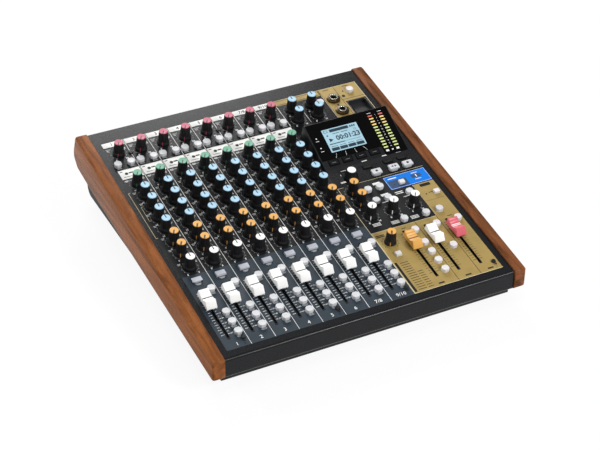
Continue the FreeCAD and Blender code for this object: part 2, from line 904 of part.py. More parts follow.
def make_lcd_module():
    """The display's frame with its sunk pane, held up against the back of the window."""
    width = lcd_width + 2.0 * lcd_frame - 2.0 * aperture_fit
    length = lcd_length + 2.0 * lcd_frame - 2.0 * aperture_fit
    module = centred_block(width, length, -window_thickness - lcd_thickness, -window_thickness)
    pane = centred_block(lcd_width, lcd_length, -window_thickness - lcd_pane, 0)
    return seat_bezel(module.cut(pane), master(lcd_column), lcd_start + lcd_length / 2.0)


def make_led_lenses():
    """The bars of the two level meters and the small signal lamps."""
    bar = centred_block(meter_width, meter_bar, 0, lens_height)
    lamp = centred_block(lens_size, lens_size, 0, lens_height)
    lenses = [seat_bezel(bar, master(x), meter_start + n * meter_pitch)
              for x in meter_columns for n in range(meter_count)]
    lenses += [seat_bezel(lamp, master(signal_column), along) for along in signal_rows]
    for index in range(channel_count):
        left = strip_left(index)
        lenses.append(seat(lamp, left + fader_key_column + 3.1, eq_first_row + 6.0))
        lenses.append(seat(lamp, left + fader_key_column + 0.3, fader_top + 9.5))
    lenses.append(seat(lamp, master(master_key_columns[2]), pan_row + 9.5))
    lenses.append(seat(lamp, master(master_key_columns[1] - 8.6), select_rows[1] - 1.4))
    lenses.append(seat(lamp, master(card_column - 6.8), trim_row + 10.0))
    return lenses


def make_soft_keys():
    """The low keys in front of the window."""
    key = fixed_key(soft_key_width, soft_key_depth, soft_key_height)
    along = window_start / 2.0 + soft_key_lead
    return [seat_bezel(key, master(soft_key_first + n * soft_key_pitch), along)
            for n in range(soft_key_count)]


# Sockets

def make_phones_jack():
    """A headphone jack: a wide nut and a collar above the panel, and its body below."""
    nut = flat_rod(phones_nut_radius, 0, phones_nut_height)
    collar = flat_rod(phones_collar_radius, -panel_sheet, phones_collar_height)
    body = centred_block(jack_body, jack_body, -jack_length, -panel_sheet)
    bore = rod(jack_bore, -jack_length + jack_end_wall, phones_collar_height + 1.0)
    return nut.fuse([collar, body]).cut(bore).removeSplitter()


def make_line_jack():
    """A rear jack: a hexagonal nut outside, and its body behind the rear panel."""
    nut = flat_rod(line_nut_radius, 0, line_nut_height, 6)
    neck = flat_rod(line_neck_radius, -panel_sheet, 0, small_flats)
    body = centred_block(jack_body, jack_body, -jack_length, -panel_sheet)
    bore = rod(jack_bore, -jack_length + jack_end_wall, line_nut_height + 1.0)
    return nut.fuse([neck, body]).cut(bore).removeSplitter()


def socket_shell(recess_depth):
    """The flange, body and round recess that the input and output sockets share."""
    flange = centred_block(socket_flange_width, socket_flange_height, 0, socket_flange_thickness)
    body = centred_block(socket_body, socket_body, -socket_body_length, 0)
    top = socket_flange_thickness
    recess = flat_hole(socket_recess, top - recess_depth, top + 1.0, 2 * small_flats)
    return flange.fuse(body).cut(recess)


def make_input_socket():
    """A combination input socket: a round recess with a jack hole in its floor."""
    floor = socket_flange_thickness - socket_recess_depth
    hole = flat_hole(jack_bore, -socket_body_length + jack_end_wall, floor + 1.0, small_flats)
    return socket_shell(socket_recess_depth).cut(hole).removeSplitter()


def make_output_socket():
    """An output socket: a deeper recess with three pins standing in it."""
    floor = socket_flange_thickness - output_recess_depth
    pin = flat_rod(output_pin_radius, floor - 1.0, floor + output_pin_length, 6)
    turns = [math.radians(angle) for angle in (30, 150, 270)]
    spots = [Vector(math.cos(a), math.sin(a), 0) * output_pin_circle for a in turns]
    pins = [pin.translated(spot) for spot in spots]
    return socket_shell(output_recess_depth).fuse(pins).removeSplitter()


def socket_columns():
    """The x of each round socket, inputs first."""
    return [strip_left(index) + knob_column for index in range(channel_count + output_count)]


def line_jack_columns():
    return socket_columns()[-line_jack_count:]


def small_socket_column():
    return strip_left(channel_count + output_count) + knob_column


def power_column():
    return small_socket_column() + strip_pitch


def power_w():
    return (upper_socket_w + lower_socket_w) / 2.0


def data_shell_size():
    return data_width + 2.0 * small_socket_wall, data_height + 2.0 * small_socket_wall


def inlet_shell_size():
    return 2.0 * (inlet_bore + small_socket_wall)


def small_socket(width, height, depth):
    """A shell that stands in the rear panel's hole, with a collar behind the panel."""
    back = -depth - small_socket_wall
    shell = centred_block(width, height, back, 0.0)
    rim = 2.0 * small_socket_collar
    return shell.fuse(centred_block(width + rim, height + rim, back, -panel_sheet))


def make_data_socket():
    """The small flat data socket with its tongue."""
    shell = small_socket(*data_shell_size(), data_depth)
    room = centred_block(data_width, data_height, -data_depth, 1.0)
    tongue = centred_block(data_width - 2.4, data_tongue, -data_depth - 1.0, -1.5)
    return seat_rear(shell.cut(room).fuse(tongue), small_socket_column(), upper_socket_w)


def make_power_inlet():
    """The barrel inlet with its centre pin."""
    shell = small_socket(inlet_shell_size(), inlet_shell_size(), inlet_depth)
    room = flat_rod(inlet_bore, -inlet_depth, 1.0)
    pin = flat_rod(inlet_pin, -inlet_depth - 1.0, -1.0, 6)
    return seat_rear(shell.cut(room).fuse(pin), small_socket_column(), lower_socket_w)


def make_power_frame():
    """The frame of the power switch, open for its rocker, with the rocker's axle across it."""
    rim = 2.0 * power_frame
    frame = centred_block(power_width + rim, power_height + rim, 0, power_frame)
    body = centred_block(power_width, power_height, -power_depth, 0)
    room = centred_block(power_width - rim, power_height - rim, -power_depth + power_wall,
                         power_frame + 1.0)
    reach = (power_width - power_frame) / 2.0
    axle = laid(flat_rod(rocker_pin_radius, -reach, reach, small_flats))
    return seat_rear(frame.fuse(body).cut(room).fuse(axle), power_column(), power_w())


def make_power_rocker():
    """The rocker, bored for the axle and tilted with its upper end pressed in."""
    width = power_width - 2.0 * (power_frame + rocker_fit)
    half = power_height / 2.0 - power_frame - 2.0 * rocker_fit
    swing = math.radians(rocker_throw / 2.0)
    end = (half, rocker_proud)
    middle = (0.0, rocker_proud - half * math.tan(swing))
    profile = [(-half, end[1]), middle, end, (half, 0.0), (rocker_keel, -rocker_keel),
               (-rocker_keel, -rocker_keel), (-half, 0.0)]
    rocker = closed_face([Vector(-width / 2.0, y, z) for y, z in profile])
    rocker = rocker.extrude(Vector(width, 0, 0))
    rocker = rocker.cut(laid(flat_hole(rocker_pin_radius + shaft_fit, -width, width, small_flats)))
    rocker.rotate(Vector(0, 0, 0), Vector(1, 0, 0), -rocker_throw / 2.0)
    return seat_rear(rocker, power_column(), power_w())


def card_ring(room, z):
    """The card well's outline, wider by room all round."""
    grown = 2.0 * room
    return clipped_ring(card_width + grown, card_length + grown, card_corner, z)


def seat_card(ring, top):
    return seat(prism(ring, top), master(card_column), card_front + card_length / 2.0)


def make_card_slot():
    """A moulded well under the panel with a slot for a memory card along its left side."""
    depth = -card_depth - 2.0 * card_wall
    tray = seat_card(card_ring(0.0, depth), 0.0)
    rim = seat_card(card_ring(card_rim, -panel_sheet - card_wall), -panel_sheet)
    well = seat_card(card_ring(-card_wall, -card_depth), 1.0)
    start = -card_width / 2.0 + card_slot_inset
    slot = block(start, start + card_slot_width, -card_slot_length / 2.0, card_slot_length / 2.0,
                 depth - 1.0, 0)
    slot = seat(slot, master(card_column), card_front + card_length / 2.0)
    return tray.fuse(rim).cut([well, slot]).removeSplitter()


# Boards

def make_circuit_boards():
    """The board under the controls and the upright board that the rear jacks stand on."""
    left, right = board_margin_side, panel_width - board_margin_side
    rear = trim_row + board_rear_run
    notch_x = master(phones_column) - jack_body
    notch_y = card_front - card_rim - 3.0
    outline = [(left, board_front), (right, board_front), (right, notch_y), (notch_x, notch_y),
               (notch_x, rear), (left, rear)]
    face = closed_face([Vector(x, y, -board_depth - board_thickness) for x, y in outline])
    control = seat(face.extrude(Vector(0, 0, board_thickness)), 0, 0)
    height = socket_flange_height + upper_socket_w - lower_socket_w
    width = panel_width - 6.0 * board_margin_side
    upright = centred_block(width, height, -jack_length - board_thickness, -jack_length)
    return [control, seat_rear(upright, panel_width / 2.0, power_w())]


# Assembly

def build_nodes():
    """Every sub-part by node name, each as a list of solids."""
    nodes = {"top_panel": [make_top_panel()],
             "bottom_case": [make_bottom_case()],
             "rear_panel": [make_rear_panel()],
             "wood_cheek_left": [make_cheek(-1)],
             "wood_cheek_right": [make_cheek(1)],
             "rubber_feet": make_feet(),
             "screws": make_screws(),
             "display_bezel": [make_display_bezel()],
             "display_window": [make_window(0.0)],
             "lcd_module": [make_lcd_module()],
             "led_lenses": make_led_lenses(),
             "circuit_boards": make_circuit_boards(),
             "card_slot": [make_card_slot()],
             "data_socket": [make_data_socket()],
             "power_inlet": [make_power_inlet()],
             "power_switch_frame": [make_power_frame()],
             "power_rocker": [make_power_rocker()]}
    live_pots = [seat(potentiometer(True), x, y) for _, (x, y), _ in live_knob_places()]
    fixed_knobs = channel_knob_places() + master_knob_places()
    nodes["pot_bodies"] = live_pots + [seat(potentiometer(False), x, y) for x, y in fixed_knobs]
    for name, (x, y), pointer in live_knob_places():
        size = jog_knob if name == "jog_dial" else level_knob
        nodes[name] = [seat(live_knob(size, pointer), x, y)]
    nodes["channel_knobs"] = [seat(fixed_knob(), x, y) for x, y in channel_knob_places()]
    nodes["master_knobs"] = [seat(fixed_knob(), x, y) for x, y in master_knob_places()]
    nodes["fader_bodies"] = [seat(fader_body(), x, slot_middle()) for _, x in fader_places()]
    for name, x in fader_places():
        nodes[name] = [seat(fader_cap(), x, fader_rest)]
    live_keys = live_key_places()
    nodes["switch_bodies"] = [seat(push_switch(), x, y) for _, (x, y), _ in live_keys]
    for name, (x, y), size in live_keys:
        nodes[name] = [seat(live_key(*size), x, y)]
    nodes["channel_keys"] = [seat(fixed_key(*size), x, y) for index in range(1, channel_count)
                             for _, (x, y), size in channel_key_places(index)]
    nodes["master_keys"] = [seat(fixed_key(*size), x, y) for (x, y), size in master_key_places()]
    nodes["master_keys"] += make_soft_keys()
    nodes["phones_jacks"] = [seat(make_phones_jack(), master(phones_column), row)
                             for row in phones_rows]
    nodes["line_jacks"] = [seat_rear(make_line_jack(), x, lower_socket_w)
                           for x in line_jack_columns()]
    inputs, outputs = socket_columns()[:channel_count], socket_columns()[channel_count:]
    nodes["input_sockets"] = [seat_rear(make_input_socket(), x, upper_socket_w) for x in inputs]
    nodes["output_sockets"] = [seat_rear(make_output_socket(), x, upper_socket_w)
                               for x in outputs]
    return nodes


def footprint_shift(nodes):
    """The move that brings the middle of the whole mixer's footprint over the origin."""
    box = Part.makeCompound([solid for solids in nodes.values() for solid in solids]).BoundBox
    return Vector(-(box.XMin + box.XMax) / 2.0, -(box.YMin + box.YMax) / 2.0, -box.ZMin)


def main():
    """Builds the mixer and writes one STEP file for each node."""
    os.makedirs("parts", exist_ok=True)
    nodes = build_nodes()
    shift = footprint_shift(nodes)
    for name, solids in nodes.items():
        placed = [solid.translated(shift) for solid in solids]
        shape = placed[0] if len(placed) == 1 else Part.makeCompound(placed)
        shape.exportStep(f"parts/{name}.step")
    print(len(nodes), "sub-parts written")


main()
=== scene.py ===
"""A desktop recording mixer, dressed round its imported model.

Twelve strips of controls cross a sloping steel panel between two wooden cheeks. Eight strips are
channels and four make the master section, with its display housing at the rear.

Lengths are in millimetres until a piece is finished, when its frame turns them to metres. A place
on the panel is given as x from its left edge, y up its slope from the front edge, and w out of it.
"""

import json
import logging
import math
from dataclasses import dataclass, field, replace
from enum import Enum
from typing import Optional, Sequence

import bmesh
import bpy
from mathutils import Matrix, Vector
from mathutils.geometry import tessellate_polygon

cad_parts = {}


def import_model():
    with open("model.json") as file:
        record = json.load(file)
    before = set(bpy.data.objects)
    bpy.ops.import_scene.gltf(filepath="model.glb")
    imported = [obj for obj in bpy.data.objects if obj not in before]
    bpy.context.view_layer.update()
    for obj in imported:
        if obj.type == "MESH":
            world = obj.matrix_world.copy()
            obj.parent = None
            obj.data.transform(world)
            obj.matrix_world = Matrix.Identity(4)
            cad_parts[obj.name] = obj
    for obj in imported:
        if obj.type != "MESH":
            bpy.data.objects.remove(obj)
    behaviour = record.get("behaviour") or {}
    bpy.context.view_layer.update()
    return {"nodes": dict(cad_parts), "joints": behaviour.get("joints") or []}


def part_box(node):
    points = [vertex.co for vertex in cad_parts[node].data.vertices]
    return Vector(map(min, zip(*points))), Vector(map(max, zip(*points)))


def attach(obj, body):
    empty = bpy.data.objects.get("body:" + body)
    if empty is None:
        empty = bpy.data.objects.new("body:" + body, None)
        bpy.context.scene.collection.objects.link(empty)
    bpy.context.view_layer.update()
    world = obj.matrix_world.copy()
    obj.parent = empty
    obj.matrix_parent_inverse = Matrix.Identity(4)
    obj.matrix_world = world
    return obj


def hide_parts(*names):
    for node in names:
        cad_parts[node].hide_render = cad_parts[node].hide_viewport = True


LOG = logging.getLogger("recording_mixer")
MM = 0.001
FIELD_THICKNESS, LINE_THICKNESS = 0.12, 0.24
STATIC_BODY = "mixer"

Pair = tuple[float, float]
Outline = list[Pair]
Mesh = bpy.types.Mesh
Node = bpy.types.Node
Tree = bpy.types.NodeTree
Socket = bpy.types.NodeSocket


def stand(name: str, data: bpy.types.ID) -> bpy.types.Object:
    """Adds an object to the scene.

    Args:
        name: The object's name.
        data: Its mesh, curve, lamp or camera.

    Returns:
        The object, at the origin.
    """
    item = bpy.data.objects.new(name, data)
    bpy.context.scene.collection.objects.link(item)
    return item


# Places

@dataclass(frozen=True)
class Spot:
    """Where a shape stands: x, y and w in millimetres, and its turn about w in degrees."""

    x: float
    y: float
    w: float = 0.0
    turn: float = 0.0


@dataclass(frozen=True)
class WorkFrame:
    """A flat face that pieces are built on, in millimetres.

    The matrix takes a point on the face to the shared frame in metres.
    """

    matrix: Matrix

    def tipped(self, origin: tuple[float, float, float], angle: float,
               half_turn: bool = False) -> "WorkFrame":
        """Gives a face that stands on this one.

        Args:
            origin: The new face's origin, on this face.
            angle: How far the new face is tipped back about x, in degrees.
            half_turn: Whether the new face is then turned half round about its own normal.

        Returns:
            The new face.
        """
        turn = Matrix.Rotation(math.radians(angle), 4, "X")
        if half_turn:
            turn = turn @ Matrix.Rotation(math.pi, 4, "Z")
        return WorkFrame(self.matrix @ Matrix.Translation(origin) @ turn)

    def box(self, node: bpy.types.Object) -> tuple[Vector, Vector]:
        """Gives a node's lowest and highest corners as places on this face.

        Args:
            node: The node.

        Returns:
            The lowest and the highest corner.
        """
        back = self.matrix.inverted()
        points = [back @ vertex.co for vertex in node.data.vertices]
        low = Vector(min(point[axis] for point in points) for axis in range(3))
        high = Vector(max(point[axis] for point in points) for axis in range(3))
        return low, high


def panel_frame(joints: Sequence[dict]) -> WorkFrame:
    """Finds the sloping panel's own face.

    Args:
        joints: The model's joints. A knob turns about the panel's normal.

    Returns:
        The face, with its origin at the panel's front left corner.
    """
    lip_height = 22.0
    axis = next(joint["axis"] for joint in joints if joint["child"] == "jog_dial")
    tilt = math.atan2(-axis[1], axis[2])
    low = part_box("top_panel")[0]
    corner = Vector((low.x, low.y, low.z + lip_height * MM))
    turn = Matrix.Rotation(tilt, 4, "X")
    return WorkFrame(Matrix.Translation(corner) @ turn @ Matrix.Scale(MM, 4))


@dataclass(frozen=True)
class Layout:
    """The places that the strips share, read from the model.

    Attributes:
        face: The sloping panel.
        nodes: The model's nodes by name.
        pitch: From one strip to the next.
        margin: From the panel's left edge to the first strip.
        width: The panel across.
        length: The panel up its slope.
    """

    face: WorkFrame
    nodes: dict[str, bpy.types.Object]
    pitch: float
    margin: float
    width: float
    length: float
    channels: int = 8
    strips: int = 12
    slot_ends: Pair = (25.25, 94.75)
    slot_width: float = 2.4
    key_room: float = 0.3

    @classmethod
    def read(cls, face: WorkFrame, nodes: dict[str, bpy.types.Object]) -> "Layout":
        """Measures the strips on the model's faders and panel.

        Args:
            face: The sloping panel.
            nodes: The model's nodes by name.

        Returns:
            The layout.
        """
        low, high = face.box(nodes["top_panel"])
        first, last = (cls.middle_of(face, nodes[f"fader_{n}"]) for n in (1, cls.channels))
        pitch = (last[0] - first[0]) / (cls.channels - 1)
        width = high.x - low.x
        margin = (width - cls.strips * pitch) / 2.0
        return cls(face, nodes, pitch, margin, width, high.y)

    @staticmethod
    def middle_of(face: WorkFrame, node: bpy.types.Object) -> Pair:
        """Gives the middle of a node's outline on a face."""
        low, high = face.box(node)
        return (low.x + high.x) / 2.0, (low.y + high.y) / 2.0

    def place(self, node: str) -> Pair:
        """Gives a node's middle on the panel."""
        return self.middle_of(self.face, self.nodes[node])

    def left(self, strip: int) -> float:
        """Gives the x of a strip's left edge."""
        return self.margin + strip * self.pitch

    def master(self, across: float) -> float:
        """Gives the x of a place that is measured across the master section."""
        return self.left(self.channels) + across

    def faders(self) -> list[str]:
        """Gives the names of the fader nodes, from the left."""
        return [f"fader_{n + 1}" for n in range(self.channels)] + [
            "fader_effect", "fader_sub", "fader_main"]

    def openings(self) -> list[Outline]:
        """Gives the outlines that the print leaves free: slots, live keys, jacks and card well.

        Returns:
            The outlines, each with its points in order.
        """
        low, high = self.slot_ends
        slots = [(self.place(node)[0], (low + high) / 2.0, self.slot_width, high - low)
                 for node in self.faders()]
        head = [size + 2.0 * self.key_room for size in KeyShape.ROUND.value[:2]]
        mute = [size + self.key_room for size in KeyShape.MUTE.value[:2]]
        keys = [(*self.place(f"ch1_assign_{n}_key"), *head) for n in range(1, 5)]
        keys.append((*self.place("ch1_mute_key"), *mute))
        well_low, well_high = self.face.box(self.nodes["card_slot"])
        rim = 1.5
        well = ((well_low.x + well_high.x) / 2.0, (well_low.y + well_high.y) / 2.0,
                well_high.x - well_low.x - 2.0 * rim, well_high.y - well_low.y - 2.0 * rim)
        boxes = [[(x + a, y + b) for a, b in rectangle(width, depth)]
                 for x, y, width, depth in slots + keys + [well]]
        collar = 5.1
        jack_x, rows = self.jacks()
        return boxes + [[(jack_x + a, y + b) for a, b in polygon(collar, 24)] for y in rows]

    def rear_knobs(self) -> list[Spot]:
        """Gives the places of the four rear level knobs.

        Returns:
            Their spots, a column at a time.
        """
        first, apart = self.place("effect_level_knob")[0], 23.8
        rows = self.place("ch1_trim_knob")[1], self.place("ch1_pad_key")[1]
        return [Spot(x, y) for x in (first, first + apart) for y in rows]

    def send_knobs(self) -> list[Spot]:
        """Gives the places of the two send knobs of the master section."""
        column = self.place("effect_level_knob")[0]
        return [Spot(column, self.place(f"ch1_aux_{n}_knob")[1]) for n in (1, 2)]

    def front_knobs(self) -> list[Spot]:
        """Gives the places of the three front level knobs."""
        first, row = self.place("effect_level_knob")[0], self.place("ch1_pan_knob")[1]
        return [Spot(first + n * self.pitch, row) for n in range(3)]

    def jacks(self) -> tuple[float, Pair]:
        """Gives the column and the two rows of the headphone jacks."""
        trim_row = self.place("ch1_trim_knob")[1]
        return self.master(64.5), (trim_row - 21.0, trim_row + 0.5)


# Finishes

def linear(hue: str, alpha: float = 1.0) -> tuple[float, float, float, float]:
    """Turns an sRGB hex colour to linear red, green, blue and alpha.

    Args:
        hue: The colour, as sRGB hex.
        alpha: How opaque it is.

    Returns:
        The four values.
    """
    parts = [int(hue[n:n + 2], 16) / 255.0 for n in (1, 3, 5)]
    values = [part / 12.92 if part <= 0.04045 else ((part + 0.055) / 1.055) ** 2.4
              for part in parts]
    return values[0], values[1], values[2], alpha


def add_node(tree: Tree, kind: str, links: Optional[dict] = None, **settings: object) -> Node:
    """Adds a node to a tree.

    Args:
        tree: The tree.
        kind: The node's type.
        links: For each input, by name or number, a socket to link or a value to set.
        settings: The node's own properties.

    Returns:
        The node.
    """
    node = tree.nodes.new(kind)
    for name, value in settings.items():
        setattr(node, name, value)
    for key, value in (links or {}).items():
        if isinstance(value, Socket):
            tree.links.new(value, node.inputs[key])
        else:
            node.inputs[key].default_value = value
    return node


@dataclass(frozen=True)
class Finish:
    """A surface, named for its material and for how it was made.

    Attributes:
        name: The finish's name.
        hue: Its colour, as sRGB hex.
        rough: Its roughness.
        metallic: 1 for a bare metal.
        ior: Its index of refraction.
        grain: The size of its fine texture, in millimetres.
        relief: How deep that texture is, in millimetres.
        tone: How much the colour varies, as a share.
        spread: How much the roughness varies.
    """

    name: str
    hue: str
    rough: float
    metallic: float = 0.0
    ior: float = 1.5
    grain: float = 0.6
    relief: float = 0.01
    tone: float = 0.08
    spread: float = 0.08

    def material(self) -> bpy.types.Material:
        """Gives the finish's material, and makes it the first time.

        Returns:
            The material.
        """
        found = bpy.data.materials.get(self.name)
        if found is None:
            found = bpy.data.materials.new(self.name)
            found.use_nodes = True
            found.node_tree.nodes.clear()
            found.diffuse_color = linear(self.hue)
            self.wire(found.node_tree)
        return found

    def shader(self, tree: Tree) -> Node:
        """Adds the main shader with the values that are the same all over.

        Args:
            tree: The material's tree.

        Returns:
            The shader, linked to the output.
        """
        shader = add_node(tree, "ShaderNodeBsdfPrincipled", {"Metallic": self.metallic})
        if self.metallic < 0.5:
            shader.inputs["IOR"].default_value = self.ior
        add_node(tree, "ShaderNodeOutputMaterial", {"Surface": shader.outputs[0]})
        return shader

    def noise(self, tree: Tree, size: float, stretch: Sequence[float] = (1, 1, 1),
              detail: float = 3.0) -> Node:
        """Adds a noise on the object's own place.

        Args:
            tree: The material's tree.
            size: The size of the pattern, in millimetres.
            stretch: How many times longer the pattern is along x, y and z.
            detail: How much finer detail it has.

        Returns:
            The noise node.
        """
        spot = add_node(tree, "ShaderNodeTexCoord").outputs["Object"]
        scale = [1.0 / length for length in stretch]
        mapped = add_node(tree, "ShaderNodeMapping", {"Vector": spot, "Scale": scale})
        return add_node(tree, "ShaderNodeTexNoise",
                        {"Vector": mapped.outputs[0], "Scale": 1.0 / (size * MM),
                         "Detail": detail})

    @staticmethod
    def ramp(tree: Tree, factor: Socket, stops: Sequence[tuple[float, Sequence[float]]]) -> Socket:
        """Adds a colour that runs from one stop to another.

        Args:
            tree: The material's tree.
            factor: The pattern that it follows.
            stops: The place and the colour of each of the two stops.

        Returns:
            The colour.
        """
        ramp = add_node(tree, "ShaderNodeValToRGB", {"Fac": factor})
        for stop, (place, colour) in zip(ramp.color_ramp.elements, stops):
            stop.position, stop.color = place, colour
        return ramp.outputs[0]

    def tones(self) -> list[tuple[float, list[float]]]:
        """Gives the stops of a ramp from the finish's darker to its lighter tone."""
        return [(place, [min(1.0, part * level) for part in linear(self.hue)[:3]] + [1.0])
                for place, level in ((0.3, 1.0 - self.tone), (0.7, 1.0 + self.tone))]

    def patterns(self, tree: Tree) -> tuple[Node, Node]:
        """Adds the pattern of the roughness and relief, and the broader one of the tone."""
        return self.noise(tree, self.grain), self.noise(tree, 40.0 * self.grain)

    def roughen(self, tree: Tree, shader: Node, factor: Socket) -> None:
        """Lets the roughness and the relief follow a pattern.

        Args:
            tree: The material's tree.
            shader: The main shader.
            factor: The pattern.
        """
        spread = add_node(tree, "ShaderNodeMapRange",
                          {"Value": factor, "From Min": 0.3, "From Max": 0.7,
                           "To Min": max(0.02, self.rough - self.spread),
                           "To Max": min(1.0, self.rough + self.spread)})
        tree.links.new(spread.outputs[0], shader.inputs["Roughness"])
        bump = add_node(tree, "ShaderNodeBump",
                        {"Height": factor, "Strength": 1.0, "Distance": self.relief * MM})
        tree.links.new(bump.outputs[0], shader.inputs["Normal"])

    def wire(self, tree: Tree) -> None:
        """Links the finish's own patterns to its shader.

        Args:
            tree: The material's tree.
        """
        shader = self.shader(tree)
        fine, broad = self.patterns(tree)
        tint = self.ramp(tree, broad.outputs[0], self.tones())
        tree.links.new(tint, shader.inputs["Base Color"])
        self.roughen(tree, shader, fine.outputs[0])


@dataclass(frozen=True)
class BrushedMetal(Finish):
    """Metal with fine lines across it, from brushing along x."""

    def patterns(self, tree: Tree) -> tuple[Node, Node]:
        """Adds the brush lines, which the tone follows too."""
        lines = self.noise(tree, self.grain, (60.0, 1.0, 1.0), 2.0)
        return lines, lines


@dataclass(frozen=True)
class OiledWood(Finish):
    """Sawn hardwood with an oiled face, its grain along y, and fine dark pores.

    Attributes:
        deep: The colour of the darker growth bands.
        band: How wide a growth band is, in millimetres.
    """

    deep: str = "#5a321c"
    band: float = 7.0

    def wire(self, tree: Tree) -> None:
        """Draws long bands that wander, with short pores over them.

        Args:
            tree: The material's tree.
        """
        shader = self.shader(tree)
        bands = self.noise(tree, self.band, (1.0, 16.0, 1.0), 5.0)
        bands.inputs["Distortion"].default_value = 0.6
        pores = self.noise(tree, self.grain, (1.0, 26.0, 1.0), 2.0)
        colour = self.ramp(tree, bands.outputs[0],
                           ((0.34, linear(self.deep)), (0.62, linear(self.hue))))
        speck = add_node(tree, "ShaderNodeMapRange",
                         {"Value": pores.outputs[0], "From Min": 0.3, "From Max": 0.46,
                          "To Min": 0.62, "To Max": 1.0})
        mix = add_node(tree, "ShaderNodeMix", {"Factor": 1.0, 6: colour, 7: speck.outputs[0]},
                       data_type="RGBA", blend_type="MULTIPLY")
        tree.links.new(mix.outputs[2], shader.inputs["Base Color"])
        self.roughen(tree, shader, pores.outputs[0])


@dataclass(frozen=True)
class LitLens(Finish):
    """A clear moulded lens with a lamp behind it.

    Attributes:
        glow: How strongly it shines.
    """

    glow: float = 0.6

    def wire(self, tree: Tree) -> None:
        """Adds the lamp's light to the moulded surface.

        Args:
            tree: The material's tree.
        """
        Finish.wire(self, tree)
        shader = next(node for node in tree.nodes if node.type == "BSDF_PRINCIPLED")
        shader.inputs["Emission Color"].default_value = linear(self.hue)
        shader.inputs["Emission Strength"].default_value = self.glow


